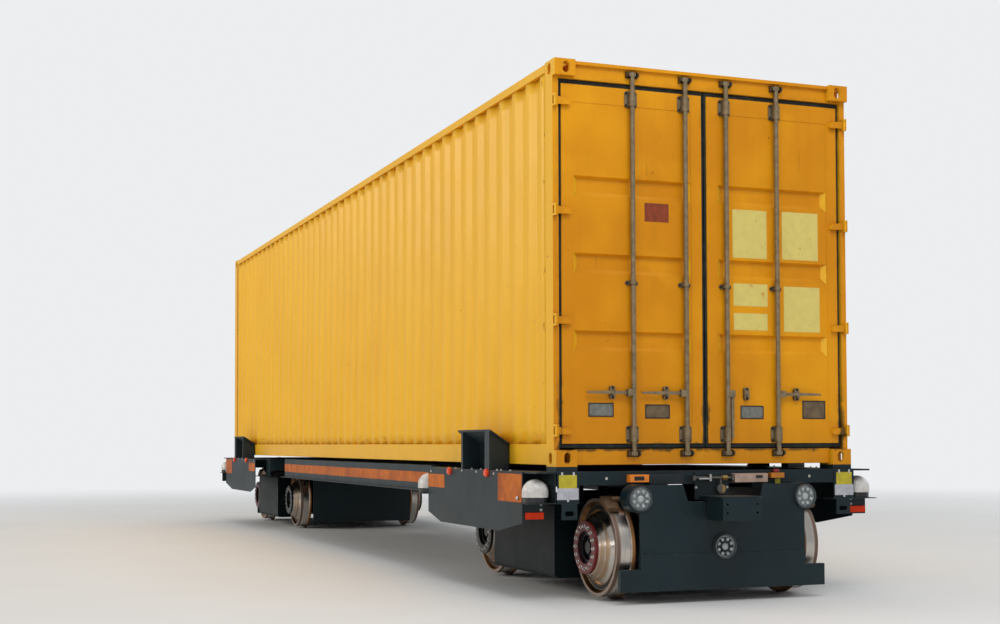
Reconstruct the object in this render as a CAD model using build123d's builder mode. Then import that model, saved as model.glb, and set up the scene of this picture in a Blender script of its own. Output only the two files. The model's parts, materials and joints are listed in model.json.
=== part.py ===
"""Rail flatcar on two powered bogies with a 40 ft high-cube container on it.

Millimetres. X runs along the car, with the container's doors at +X. Y is across it
and Z is up. The origin is under the middle of the car, at the wheel flanges' lowest point.
"""
import os

from build123d import *

os.makedirs("parts", exist_ok=True)

# Round and moving seats keep a small gap, and flat seats touch
REST_GAP = 0.3
BORE_GAP = 0.5

# Wheels and axles
TREAD_R = 355.6
FLANGE_H = 25.4
FLANGE_T = 32.0
FLANGE_ROOT = 6.0
TREAD_FALL = 3.0
RIM_WIDTH = 145.0
RIM_DEPTH = 50.0
RIM_STEP = 25.0
RIM_BEVEL = 20.0
GROOVE_W = 32.0
BACK_TO_BACK = 1356.0
WHEELBASE = 2100.0
AXLE_R = 75.0
SEAT_R = 90.0
HUB_R = 190.0
HUB_OUT = 90.0
HUB_BACK = 30.0
HUB_BACK_R = (135.0, 170.0)
WEB_T = 25.0
SEAT_LEAD = 10.0
HUB_RING_T = 25.0
HUB_EYE_R = 118.0
STUB_R = 45.0
AXLE_Z = TREAD_R + FLANGE_H
WHEEL_BACK = BACK_TO_BACK / 2
RIM_FACE = WHEEL_BACK + RIM_WIDTH
HUB_FACE = RIM_FACE + HUB_OUT - HUB_RING_T

# Heights of the car body over the wheels
OVER_WHEEL_Z = 2 * AXLE_Z + 38.0
SEAT_Z = OVER_WHEEL_Z + 165.0
PLATFORM_DROP = 35.0
PLATE_T = 12.0
PLATFORM_Z = SEAT_Z - PLATFORM_DROP

# Container: outside sizes, corner castings and sheet
BOX_L = 12192.0
BOX_W = 2438.0
BOX_H = 2896.0
HALF_L = BOX_L / 2
HALF_W = BOX_W / 2
CASTING = (178.0, 162.0, 118.0)
CASTING_WALL = 28.0
CASTING_BACK = 10.0
APERTURE_L = 124.5
APERTURE_W = 63.5
APERTURE_INSET = (103.5, 89.5)
SIDE_SLOT = (82.0, 55.0)
PROUD_TOP = 6.0
PROUD_SIDE = 2.0
PROUD_BOTTOM = 12.0
SHEET_T = 4.0
CORRUGATION = 36.0
PITCH = 278.0
WAVE_FLAT = 0.26
WAVE_SLOPE = 0.24
WAVE_EDGE = 60.0
SHEET_INSET = 3.0
RAIL_T = 6.0
SIDE_RAIL_H = 160.0
SIDE_RAIL_TOP_W = 48.0
SIDE_RAIL_LIP = 30.0
TOP_RAIL = 60.0
POST_Y = 45.0
DOOR_POST_INSET = 44.0
FRONT_INSET = 4.0
FLOOR_T = 28.0
FLOOR_BEAM = (45.0, 100.0)
FLOOR_PITCH = 605.0
ROOF_PITCH = 209.0
ROOF_DEPTH = 20.0
ROOF_EDGE = 40.0
HEADER_H = 131.0
HEADER_LIP = (24.0, 25.0)
SILL_H = 125.0

# Doors and their lock gear
DOOR_FACE_INSET = 55.0
DOOR_T = 50.0
DOOR_GAP = 8.0
SEAL_W = 18.0
SEAL_H = 32.0
SEAL_T = 22.0
SEAL_INSET = 8.0
DOOR_EDGE_Y = HALF_W - 71.0
DOOR_BOTTOM = 163.0
DOOR_TOP = BOX_H - 165.0
SHEET_SINK = 3.0
SINK_Y = (108.0, HALF_W - 159.0)
SINK_Z = (315.0, BOX_H - 291.0)
BAND_DEPTH = 32.0
BAND_H = 150.0
BAND_PITCH = 554.0
BAND_Y = (115.0, HALF_W - 166.0)
BAND_SLOPES = (14.0, 45.0, 34.0)
HINGE_Y = HALF_W - 14.0
HINGE_INSET = 16.0
HINGE_ENDS_Z = (256.0, BOX_H - 294.0)
HINGE_COUNT = 4
BLADE_TIP_Y = HALF_W - 134.0
BLADE_T = 12.0
BLADE_BACK = 8.0
PIN_R = 6.0
KNUCKLE_R = 14.0
KNUCKLE_H = 56.0
EAR_T = 14.0
EAR_GAP = 1.0
ROD_R = 17.0
ROD_Y = (170.0, 600.0)
ROD_INSET = 22.0
CAM_Z = (91.0, BOX_H - 66.0)
CAM = (60.0, 26.0, 26.0)
COLLAR = (18.5, 9.0)
ROD_END = 15.0
GUIDE_Z = (229.0, BOX_H - 242.0)
GUIDE = (100.0, 120.0, 6.0)
SADDLE_Z = 1320.0
SADDLE_H = 36.0
HOUSING_R = 21.5
HANDLE_Z = 528.0
HANDLE_L = 330.0
HANDLE_T = 10.0
HANDLE_H = (24.0, 15.0)
FORK = (34.0, 54.0, 50.0)
FORK_SLOT = 18.0
FORK_OFFSET = 38.0
CATCH_OUT = 165.0
CATCH = (40.0, 96.0)
CATCH_HOLE_R = 6.0
KEEPER = (96.0, 50.0, 3.0)
KEEPER_LUG = (40.0, 12.0, 24.0)

# Car body
END_X = HALF_L + 14.0
END_BEAM = (60.0, 85.0)
FASCIA_Y = HALF_W + 166.0
FASCIA_T = 10.0
FASCIA_X = (HALF_L - 2376.0, HALF_L - 226.0)
FASCIA_Z = (SEAT_Z - 480.0, PLATFORM_Z)
FASCIA_CUT_OUTER = (480.0, 78.0)
FASCIA_CUT_INNER = (330.0, 73.0)
DECK_CHAMFER = 80.0
SILL_X = (-(FASCIA_X[0] - 1220.0), FASCIA_X[0] - 320.0)
SILL_Y = HALF_W + 31.0
SILL_Z = (SEAT_Z - 250.0, SEAT_Z - 24.0)
SILL_T = 8.0
SILL_LIP = 50.0
SILL_FLANGE = 80.0
BEAM_Y = 430.0
BEAM_W = 160.0
BEAM_Z = (SEAT_Z - 260.0, PLATFORM_Z - PLATE_T)
CROSS_COUNT = 7
CROSS_W = 60.0
CROSS_Z = SEAT_Z - 185.0
BOLSTER_W = 400.0
PIVOT_R = 200.0
PIVOT_Z = OVER_WHEEL_Z - 30.0
BEARER_R = 55.0

# Bogie pieces, along X from the bogie's centre and up from the flanges' lowest point
PILOT_X = WHEELBASE / 2 + AXLE_Z + 9.0
PILOT_T = 20.0
PILOT_OUT = 190.0
PILOT_HALF = WHEEL_BACK - 8.0
PILOT_Z = (345.0, OVER_WHEEL_Z + 35.0)
INNER_PILOT_TOP = BEAM_Z[0] - 25.0
NOTCH = (330.0, 290.0, 120.0)
BUMPER_BOTTOM = 90.0
BUMPER_BACK = 10.0
BUMPER_PROUD = 12.0
WING_Y = RIM_FACE + 7.0
WING_TOP = 245.0
FRAME_Y = (WHEEL_BACK - 228.0, WHEEL_BACK - 118.0)
FRAME_Z = (AXLE_Z + 139.0, AXLE_Z + 309.0)
BELLY_X = (620.0, 780.0)
BELLY_Z = AXLE_Z + 50.0
TRANSOM_L = 120.0
BOWL_RIM = 20.0
BEARING_R = 130.0
BEARING_TOP_W = 200.0
HORN_W = 36.0
HORN_Z = AXLE_Z + 20.0
SIDE_BOX_X = WHEELBASE / 2 - AXLE_Z - 34.0
SIDE_BOX_Y = WHEEL_BACK + 292.0
SIDE_BOX_Z = (125.0, FRAME_Z[1])
SIDE_BOX_EDGE = 25.0
POWER_X = WHEELBASE / 2 - 450.0
POWER_Z = (150.0, FRAME_Z[1] - 10.0)
LAMP_R = 88.0
LAMP_T = 14.0
LAMP_Z = PILOT_Z[1] - 95.0
LOW_LAMP_Z = PILOT_Z[0] + 46.0
POD_R = 100.0
POD_L = 120.0
BOGIE_X = END_X + PILOT_OUT - PILOT_X - PILOT_T
BOGIE_ENDS = ((1, "front"), (-1, "rear"))

# End equipment on the car body
COUPLER = (230.0, 330.0, 170.0)
COUPLER_TOP = SEAT_Z - 210.0
COUPLER_CLEAR = 18.0
COUPLER_CAP = (10.0, 50.0)
CAP_CORNER = 25.0
DRAWBAR = (200.0, 25.0)
DRAW_PLATE_W = 280.0
BOLT_R = 9.0
BOLT_SPACING = (240.0, 60.0)
BOLT_DEPTH = 40.0
STAND_X = (HALF_L - 1615.0, HALF_L - 873.0)
STAND_IN = HALF_W + 6.0
STAND_Z = (SEAT_Z + 166.0, SEAT_Z + 273.0)
STAND_T = 14.0
STAND_WEB_T = 8.0
STAND_LEGS = ((82.0, 37.0), (619.0, 100.0))
STAND_CUT = (428.0, 107.0)
BRACKET_Z = SEAT_Z - 254.0
BRACKET_T = 6.0
BRACKET_L = 240.0
BRACKET_Y = (HALF_W - 169.0, HALF_W + 217.0)
DOME_R = 95.0
DOME_OUT = 125.0
DOME_Y = HALF_W + 118.0
DOME_WALL = 32.0
DOME_BASE = (89.0, 40.0)
WEB_Y = HALF_W + 10.0
LABEL_W = 170.0
LUG = (12.0, 120.0, 112.0)
LUG_SLOT = (72.0, 34.0)
LUG_SLOT_DROP = 68.0
LUG_Y = HALF_W - 91.0
LAMP_PLATE_X = END_X - 130.0
LAMP_Y = HALF_W + 123.0
LAMP_DROP = 120.0
LAMP_MARGIN = 10.0
TAIL_LAMP = (15.0, 136.0, 47.0)
TAIL_LAMP_Z = SEAT_Z - 345.0
MARKER_X = (FASCIA_X[0] + 574.0, FASCIA_X[1] - 713.0)
MARKER_Z = SEAT_Z - 56.0
MARKER_R = 31.0
MARKER_T = 25.0
MARKER_CHAMFER = 9.0
WARNING = (60.0, -605.0, 150.0, 55.0)
WARNING_Z = SEAT_Z - 113.0
PIPE_R = 11.0
PIPE_Y = (-175.0, 165.0)
PIPE_OUT = 40.0
PIPE_Z = SEAT_Z - 88.0
PIPE_CLAMP = (20.0, 34.0)
VALVE = (27.0, 10.0, -40.0)
UNION = (20.0, 40.0, 110.0)
JAW = (34.0, 24.0, 60.0)
JAW_STEM_R = 8.0
JAW_Z = SEAT_Z - 168.0
STOP_BASE = (50.0, 110.0, 38.0)
STOP_Y = 535.0
STOP_Z = SEAT_Z - 93.0
STOP_STEM = (13.0, 8.0)
STOP_HEAD = (25.0, 17.0)
BOX_CORNER = 6.0
END_BOXES = (
    # depth, middle Y, width, height, bottom under the container's seat
    (50.0, -385.0, 270.0, 74.0, -130.0),
    (55.0, 308.0, 276.0, 64.0, -122.0),
)


def save(builder, name):
    """Label a finished piece and write it."""
    builder.part.label = name
    export_step(builder.part, f"parts/{name}.step")


def span(low, high):
    """Centre and length of a stretch."""
    return (low + high) / 2, high - low


# Wheelsets: two flanged wheels pressed on an axle whose ends carry bolted hub rings
rim_back = WHEEL_BACK + WEB_T
tread_in = WHEEL_BACK + FLANGE_T + FLANGE_ROOT
groove_r = TREAD_R - RIM_DEPTH
dish_x = RIM_FACE - RIM_STEP
axle_outline = [
    (0, 0),
    (0, AXLE_R),
    (WHEEL_BACK - HUB_BACK - SEAT_LEAD, AXLE_R),
    (WHEEL_BACK - HUB_BACK - SEAT_LEAD, SEAT_R),
    (HUB_FACE, SEAT_R),
    (HUB_FACE, HUB_R),
    (HUB_FACE + HUB_RING_T, HUB_R),
    (HUB_FACE + HUB_RING_T, HUB_EYE_R),
    (HUB_FACE - HUB_RING_T, HUB_EYE_R),
    (HUB_FACE - HUB_RING_T, STUB_R),
    (HUB_FACE, STUB_R),
    (HUB_FACE, 0),
]

axle_places = [
    ("front_outer", BOGIE_X + WHEELBASE / 2),
    ("front_inner", BOGIE_X - WHEELBASE / 2),
    ("rear_inner", -BOGIE_X + WHEELBASE / 2),
    ("rear_outer", -BOGIE_X - WHEELBASE / 2),
]
for name, axle_x in axle_places:
    axle_plane = Plane(origin=(axle_x, 0, AXLE_Z), x_dir=(0, 1, 0), z_dir=(1, 0, 0))
    axle_line = Axis((axle_x, 0, AXLE_Z), (0, 1, 0))
    with BuildPart() as wheels:
        with BuildSketch(axle_plane):
            with BuildLine():
                flange = TangentArc(
                    (WHEEL_BACK, TREAD_R + FLANGE_H - FLANGE_T / 2),
                    (WHEEL_BACK + FLANGE_T / 2, TREAD_R + FLANGE_H),
                    tangent=(0, 1),
                )
                Polyline(
                    flange @ 1, (tread_in, TREAD_R + TREAD_FALL), (RIM_FACE, TREAD_R - TREAD_FALL),
                    (RIM_FACE, groove_r + RIM_BEVEL), (dish_x, groove_r), (dish_x, groove_r - GROOVE_W),
                    (HUB_FACE - REST_GAP, HUB_R), (HUB_FACE - REST_GAP, SEAT_R + REST_GAP),
                    (WHEEL_BACK - HUB_BACK, SEAT_R + REST_GAP), (WHEEL_BACK - HUB_BACK, HUB_BACK_R[0]),
                    (rim_back, HUB_BACK_R[1]), (rim_back, groove_r), (WHEEL_BACK, groove_r), flange @ 0,
                )
            make_face()
        revolve(axis=axle_line)
        mirror(about=Plane.XZ)
    save(wheels, f"wheels_{name}")
    with BuildPart() as axle:
        with BuildSketch(axle_plane):
            Polygon(*axle_outline, align=None)
        revolve(axis=axle_line)
        mirror(about=Plane.XZ)
    save(axle, f"axle_{name}")

# Bogies
for way, name in BOGIE_ENDS:
    centre = way * BOGIE_X
    axles = (centre - WHEELBASE / 2, centre + WHEELBASE / 2)
    frame_z, frame_h = span(*FRAME_Z)
    frame_y, frame_w = span(*FRAME_Y)

    with BuildPart() as bogie_frame:
        horn_in = WHEELBASE / 2 - BEARING_R - REST_GAP
        horn_out = WHEELBASE / 2 + BEARING_R + REST_GAP
        for outer_y in (FRAME_Y[1], -FRAME_Y[0]):
            with BuildSketch(Plane(origin=(centre, outer_y, 0), x_dir=(1, 0, 0), z_dir=(0, -1, 0))):
                with BuildLine():
                    Polyline(
                        (0, BELLY_Z), (BELLY_X[0], BELLY_Z), (BELLY_X[1], FRAME_Z[0]),
                        (horn_in - HORN_W, FRAME_Z[0]), (horn_in - HORN_W, HORN_Z), (horn_in, HORN_Z),
                        (horn_in, FRAME_Z[0]), (horn_out, FRAME_Z[0]), (horn_out, HORN_Z),
                        (horn_out + HORN_W, HORN_Z), (horn_out + HORN_W, FRAME_Z[0]),
                        (PILOT_X, FRAME_Z[0]), (PILOT_X, FRAME_Z[1]), (0, FRAME_Z[1]),
                    )
                    mirror(about=Plane.YZ)
                make_face()
            extrude(amount=frame_w)
        transom_x = PILOT_X - TRANSOM_L / 2
        with Locations((centre + transom_x, 0, frame_z), (centre - transom_x, 0, frame_z)):
            Box(TRANSOM_L, 2 * FRAME_Y[0], frame_h)
        bolster_top = PIVOT_Z - BOWL_RIM
        with Locations((centre, 0, FRAME_Z[1])):
            Box(BOLSTER_W, 2 * FRAME_Y[1], bolster_top - FRAME_Z[1],
                align=(Align.CENTER, Align.CENTER, Align.MIN))
        with Locations((centre, 0, bolster_top)):
            Cylinder(PIVOT_R + BOWL_RIM, PIVOT_Z - REST_GAP - bolster_top,
                     align=(Align.CENTER, Align.CENTER, Align.MIN))
        with Locations((centre, frame_y, bolster_top), (centre, -frame_y, bolster_top)):
            Cylinder(BEARER_R, OVER_WHEEL_Z - REST_GAP - bolster_top,
                     align=(Align.CENTER, Align.CENTER, Align.MIN))
    save(bogie_frame, f"bogie_frame_{name}")

    with BuildPart() as axle_boxes:
        with Locations([(x, side * frame_y, AXLE_Z) for x in axles for side in (-1, 1)]):
            Cylinder(BEARING_R, frame_w, rotation=(90, 0, 0))
            Box(BEARING_TOP_W, frame_w, FRAME_Z[0] - AXLE_Z,
                align=(Align.CENTER, Align.CENTER, Align.MIN))
            Cylinder(AXLE_R + BORE_GAP, frame_w, rotation=(90, 0, 0), mode=Mode.SUBTRACT)
    save(axle_boxes, f"axle_boxes_{name}")

    with BuildPart() as side_boxes:
        box_y, box_w = span(FRAME_Y[1], SIDE_BOX_Y)
        box_z, box_h = span(*SIDE_BOX_Z)
        with Locations((centre, box_y, box_z), (centre, -box_y, box_z)):
            Box(2 * SIDE_BOX_X, box_w, box_h)
        outer_edges = side_boxes.edges().filter_by(Axis.X).group_by(Axis.Y)
        chamfer(outer_edges[0] + outer_edges[-1], SIDE_BOX_EDGE)
    save(side_boxes, f"side_boxes_{name}")

    with BuildPart() as power_unit:
        power_z, power_h = span(*POWER_Z)
        with Locations((centre, 0, power_z)):
            Box(2 * POWER_X, 2 * FRAME_Y[0], power_h)
    save(power_unit, f"power_unit_{name}")

    pilot_face = centre + way * (PILOT_X + PILOT_T)
    pilot_plane = Plane(origin=(pilot_face, 0, 0), x_dir=(0, way, 0), z_dir=(way, 0, 0))
    lamp_spots = [(-PILOT_HALF, LAMP_Z), (PILOT_HALF, LAMP_Z)]
    with BuildPart() as outer_pilot:
        with BuildSketch(pilot_plane):
            notch_z = PILOT_Z[1] - NOTCH[2]
            with BuildLine():
                Polyline(
                    (-PILOT_HALF, BUMPER_BOTTOM), (PILOT_HALF, BUMPER_BOTTOM),
                    (PILOT_HALF, PILOT_Z[1]), (NOTCH[0], PILOT_Z[1]), (NOTCH[1], notch_z),
                    (-NOTCH[1], notch_z), (-NOTCH[0], PILOT_Z[1]), (-PILOT_HALF, PILOT_Z[1]),
                    close=True,
                )
            make_face()
        extrude(amount=-PILOT_T)
        with BuildSketch(pilot_plane.offset(-PILOT_T - BUMPER_BACK)):
            with Locations((0, (BUMPER_BOTTOM + PILOT_Z[0]) / 2)):
                Rectangle(2 * PILOT_HALF, PILOT_Z[0] - BUMPER_BOTTOM)
            with Locations((0, (BUMPER_BOTTOM + WING_TOP) / 2)):
                Rectangle(2 * WING_Y, WING_TOP - BUMPER_BOTTOM)
        extrude(amount=PILOT_T + BUMPER_BACK + BUMPER_PROUD)
        with BuildSketch(pilot_plane):
            with Locations(*lamp_spots):
                Circle(POD_R)
        extrude(amount=-POD_L)
        with BuildSketch(pilot_plane):
            with Locations((0, LOW_LAMP_Z)):
                Circle(POD_R)
        extrude(amount=BUMPER_PROUD)
    save(outer_pilot, f"outer_pilot_{name}")

    with BuildPart() as headlamps:
        for spot, out in [(lamp_spots[0], 0), (lamp_spots[1], 0), ((0, LOW_LAMP_Z), BUMPER_PROUD)]:
            with BuildSketch(pilot_plane.offset(out)):
                with Locations(spot):
                    Circle(LAMP_R)
            extrude(amount=LAMP_T)
    save(headlamps, f"headlamps_{name}")

    inner_face = centre - way * (PILOT_X + PILOT_T)
    inner_plane = Plane(origin=(inner_face, 0, 0), x_dir=(0, -way, 0), z_dir=(-way, 0, 0))
    with BuildPart() as inner_pilot:
        with BuildSketch(inner_plane):
            with Locations((0, (BUMPER_BOTTOM + INNER_PILOT_TOP) / 2)):
                Rectangle(2 * PILOT_HALF, INNER_PILOT_TOP - BUMPER_BOTTOM)
        extrude(amount=-PILOT_T)
    save(inner_pilot, f"inner_pilot_{name}")

# Car body
casting_x, casting_y, casting_z = CASTING
slot_x, slot_y = HALF_L - APERTURE_INSET[0], HALF_W - APERTURE_INSET[1]
with BuildPart() as platforms:
    inner_x = SILL_X[1]
    deck_y = FASCIA_Y - FASCIA_T
    plate_x, plate_l = span(inner_x, END_X)
    with BuildSketch(Plane.XY.offset(PLATFORM_Z - PLATE_T)):
        with BuildLine():
            Polyline((inner_x, 0), (inner_x, SILL_Y), (FASCIA_X[0], SILL_Y),
                     (FASCIA_X[0], deck_y - DECK_CHAMFER), (FASCIA_X[0] + DECK_CHAMFER, deck_y),
                     (END_X, deck_y), (END_X, 0))
            mirror(about=Plane.XZ)
        make_face()
    extrude(amount=PLATE_T)
    with Locations((END_X - END_BEAM[0] / 2, 0, PLATFORM_Z - PLATE_T)):
        Box(END_BEAM[0], BOX_W, END_BEAM[1], align=(Align.CENTER, Align.CENTER, Align.MAX))
    with Locations((inner_x + CROSS_W / 2, 0, PLATFORM_Z - PLATE_T)):
        Box(CROSS_W, 2 * SILL_Y, BEAM_Z[1] - CROSS_Z,
            align=(Align.CENTER, Align.CENTER, Align.MAX))
    over_h = PLATFORM_Z - PLATE_T - OVER_WHEEL_Z
    with Locations((plate_x, BEAM_Y, OVER_WHEEL_Z), (plate_x, -BEAM_Y, OVER_WHEEL_Z)):
        Box(plate_l, BEAM_W, over_h, align=(Align.CENTER, Align.CENTER, Align.MIN))
    with Locations((BOGIE_X, 0, OVER_WHEEL_Z)):
        Box(BOLSTER_W, 2 * deck_y, over_h, align=(Align.CENTER, Align.CENTER, Align.MIN))
    with Locations((BOGIE_X, 0, PIVOT_Z)):
        Cylinder(PIVOT_R, OVER_WHEEL_Z - PIVOT_Z, align=(Align.CENTER, Align.CENTER, Align.MIN))
    pad_x, pad_y = HALF_L - casting_x / 2, HALF_W - casting_y / 2
    with Locations((pad_x, pad_y, PLATFORM_Z), (pad_x, -pad_y, PLATFORM_Z)):
        Box(casting_x, casting_y, PLATFORM_DROP, align=(Align.CENTER, Align.CENTER, Align.MIN))
    mirror(about=Plane.YZ)
save(platforms, "end_platforms")

with BuildPart() as centre_beams:
    beam_z, beam_h = span(*BEAM_Z)
    with Locations((0, BEAM_Y, beam_z), (0, -BEAM_Y, beam_z)):
        Box(2 * SILL_X[1], BEAM_W, beam_h)
save(centre_beams, "centre_beams")

with BuildPart() as cross_members:
    cross_z, cross_h = span(CROSS_Z, BEAM_Z[1])
    cross_pitch = (-2 * SILL_X[0] - CROSS_W) / (CROSS_COUNT - 1)
    beam_in, beam_out = BEAM_Y - BEAM_W / 2, BEAM_Y + BEAM_W / 2
    web_in = SILL_Y - SILL_T
    for y0, y1 in ((-web_in, -beam_out), (-beam_in, beam_in), (beam_out, web_in)):
        stub_y, stub_w = span(y0, y1)
        with Locations((0, stub_y, cross_z)):
            with GridLocations(cross_pitch, 1, CROSS_COUNT, 1):
                Box(CROSS_W, stub_w, cross_h)
save(cross_members, "cross_members")

with BuildPart() as side_sills:
    sill_low, sill_top = SILL_Z
    sill_in = -SILL_Y + SILL_FLANGE
    with BuildSketch(Plane.YZ.offset(SILL_X[0])):
        with BuildLine():
            Polyline(
                (-SILL_Y - SILL_LIP, sill_low), (sill_in, sill_low), (sill_in, sill_low + SILL_T),
                (-SILL_Y + SILL_T, sill_low + SILL_T), (-SILL_Y + SILL_T, sill_top - SILL_T),
                (sill_in, sill_top - SILL_T), (sill_in, sill_top), (-SILL_Y, sill_top),
                (-SILL_Y, sill_low + SILL_T), (-SILL_Y - SILL_LIP, sill_low + SILL_T),
                close=True,
            )
        make_face()
    extrude(amount=SILL_X[1] - SILL_X[0])
    add(side_sills.part.rotate(Axis.Z, 180))
save(side_sills, "side_sills")

with BuildPart() as fascias:
    with BuildSketch(Plane.XZ.offset(FASCIA_Y - FASCIA_T)):
        low, high = FASCIA_Z
        with BuildLine():
            Polyline(
                (FASCIA_X[0], high), (FASCIA_X[0], low + FASCIA_CUT_INNER[1]),
                (FASCIA_X[0] + FASCIA_CUT_INNER[0], low),
                (FASCIA_X[1] - FASCIA_CUT_OUTER[0], low),
                (FASCIA_X[1], low + FASCIA_CUT_OUTER[1]), (FASCIA_X[1], high),
                close=True,
            )
        make_face()
    extrude(amount=FASCIA_T)
    mirror(about=Plane.XZ)
    mirror(about=Plane.YZ)
save(fascias, "fascias")

with BuildPart() as couplers:
    block_l, block_w, block_h = COUPLER
    cap_t, cap_back = COUPLER_CAP
    block_back = END_X + PILOT_OUT + BUMPER_PROUD + COUPLER_CLEAR
    coupler_end = block_back + block_l
    bar_x, bar_l = span(END_X, block_back)
    with Locations((block_back, 0, COUPLER_TOP - cap_t)):
        Box(block_l, block_w - 2 * cap_t, block_h - cap_t, align=(Align.MIN, Align.CENTER, Align.MAX))
    with BuildSketch(Plane.XY.offset(COUPLER_TOP - cap_t)) as cap:
        with Locations((block_back - cap_back, 0)):
            Rectangle(block_l + cap_back, block_w, align=(Align.MIN, Align.CENTER))
        fillet(cap.vertices(), CAP_CORNER)
    extrude(amount=cap_t)
    with Locations((bar_x, 0, COUPLER_TOP - cap_t)):
        Box(bar_l, DRAWBAR[0], DRAWBAR[1], align=(Align.CENTER, Align.CENTER, Align.MAX))
    with Locations((END_X, 0, COUPLER_TOP - cap_t - DRAWBAR[1])):
        Box(PLATE_T, DRAW_PLATE_W, PLATFORM_Z - PLATE_T - COUPLER_TOP + cap_t + DRAWBAR[1],
            align=(Align.MIN, Align.CENTER, Align.MIN))
    with Locations(Plane(origin=(coupler_end, 0, COUPLER_TOP - block_h / 2),
                         x_dir=(0, 1, 0), z_dir=(1, 0, 0))):
        with GridLocations(BOLT_SPACING[0], BOLT_SPACING[1], 2, 2):
            Hole(BOLT_R, BOLT_DEPTH)
    mirror(about=Plane.YZ)
save(couplers, "couplers")

with BuildPart() as stands:
    stand_l = STAND_X[1] - STAND_X[0]
    low, high = STAND_Z
    top_edges = [(-FASCIA_Y, high - STAND_T), (-STAND_IN, low - STAND_T)]
    with BuildSketch(Plane.YZ.offset(STAND_X[0])):
        Polygon(*top_edges, (-STAND_IN, low), (-FASCIA_Y, high), align=None)
    extrude(amount=stand_l)
    for leg_at, leg_w in STAND_LEGS:
        with BuildSketch(Plane.YZ.offset(STAND_X[0] + leg_at)):
            Polygon((-FASCIA_Y, PLATFORM_Z), *top_edges, (-STAND_IN, PLATFORM_Z), align=None)
        extrude(amount=leg_w)
    web_x0, web_x1 = STAND_X[0] + STAND_LEGS[0][0], STAND_X[0] + STAND_LEGS[1][0]
    with BuildSketch(Plane.XZ.offset(STAND_IN)):
        with Locations((web_x0, PLATFORM_Z)):
            Rectangle(web_x1 - web_x0, low - STAND_T / 2 - PLATFORM_Z, align=(Align.MIN, Align.MIN))
        with Locations((STAND_X[0] + STAND_CUT[0], PLATFORM_Z)):
            Rectangle(web_x1 - STAND_X[0] - STAND_CUT[0], STAND_CUT[1], align=(Align.MIN, Align.MIN),
                      mode=Mode.SUBTRACT)
    extrude(amount=STAND_WEB_T)
    mirror(about=Plane.XZ)
    mirror(about=Plane.YZ)
save(stands, "guide_stands")

with BuildPart() as brackets:
    bracket_y, bracket_w = span(*BRACKET_Y)
    for x, way in ((FASCIA_X[1], 1), (FASCIA_X[0], -1)):
        with Locations((x + way * BRACKET_L / 2, bracket_y, BRACKET_Z)):
            Box(BRACKET_L, bracket_w, BRACKET_T, align=(Align.CENTER, Align.CENTER, Align.MAX))
        with Locations((x + way * BRACKET_L / 2, WEB_Y, BRACKET_Z)):
            Box(BRACKET_L, BRACKET_T, PLATFORM_Z - PLATE_T - BRACKET_Z,
                align=(Align.CENTER, Align.CENTER, Align.MIN))
    plate_low = BRACKET_Z - BRACKET_T
    with Locations((END_X, BRACKET_Y[0] + LABEL_W / 2, plate_low)):
        Box(BRACKET_T, LABEL_W, PLATFORM_Z - plate_low, align=(Align.MIN, Align.CENTER, Align.MIN))
    with BuildSketch(Plane.YZ.offset(END_X)):
        with Locations((LUG_Y, plate_low)):
            Rectangle(LUG[1], LUG[2], align=(Align.CENTER, Align.MAX))
        with Locations((LUG_Y, plate_low - LUG_SLOT_DROP)):
            SlotOverall(LUG_SLOT[0], LUG_SLOT[1], mode=Mode.SUBTRACT)
    extrude(amount=LUG[0])
    with Locations((LAMP_PLATE_X, LAMP_Y, plate_low)):
        Box(BRACKET_T, TAIL_LAMP[1] + 2 * LAMP_MARGIN, LAMP_DROP,
            align=(Align.MIN, Align.CENTER, Align.MAX))
    mirror(about=Plane.XZ)
    mirror(about=Plane.YZ)
save(brackets, "corner_brackets")

with BuildPart() as tail_lamps:
    with Locations((LAMP_PLATE_X + BRACKET_T, LAMP_Y, TAIL_LAMP_Z)):
        Box(*TAIL_LAMP, align=(Align.MIN, Align.CENTER, Align.CENTER))
    mirror(about=Plane.XZ)
    mirror(about=Plane.YZ)
save(tail_lamps, "tail_lamps")

with BuildPart() as marker_lamps:
    for x in MARKER_X:
        with Locations(Plane(origin=(x, -FASCIA_Y, MARKER_Z), x_dir=(1, 0, 0), z_dir=(0, -1, 0))):
            Cylinder(MARKER_R, MARKER_T, align=(Align.CENTER, Align.CENTER, Align.MIN))
    chamfer(marker_lamps.faces().sort_by(Axis.Y)[:2].edges(), MARKER_CHAMFER)
    mirror(about=Plane.XZ)
    mirror(about=Plane.YZ)
save(marker_lamps, "marker_lamps")

outer_dome, inner_dome = FASCIA_X[1] + DOME_OUT, FASCIA_X[0] - DOME_OUT
dome_places = [
    (outer_dome, -DOME_Y), (outer_dome, DOME_Y), (-outer_dome, -DOME_Y), (-outer_dome, DOME_Y),
    (inner_dome, -DOME_Y), (-inner_dome, DOME_Y),
]
base_top = BRACKET_Z + DOME_BASE[1]
cap_z = base_top + DOME_WALL
with BuildPart() as domes:
    for x, y in dome_places:
        with BuildSketch(Plane.XZ.offset(-y)):
            with BuildLine():
                Polyline((x, cap_z + DOME_R), (x, BRACKET_Z), (x + DOME_BASE[0], BRACKET_Z),
                         (x + DOME_BASE[0], base_top), (x + DOME_R, base_top), (x + DOME_R, cap_z))
                CenterArc((x, cap_z), DOME_R, 0, 90)
            make_face()
        revolve(axis=Axis((x, y, 0), (0, 0, 1)))
save(domes, "domes")

# What the end beam carries over the pilot, the same at both ends
with BuildPart() as end_boxes:
    for depth, y, width, height, low in END_BOXES:
        with Locations((END_X, y, SEAT_Z + low)):
            Box(depth, width, height, align=(Align.MIN, Align.CENTER, Align.MIN))
    fillet(end_boxes.edges().filter_by(Axis.X), BOX_CORNER)
    add(end_boxes.part.rotate(Axis.Z, 180))
save(end_boxes, "end_boxes")

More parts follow.
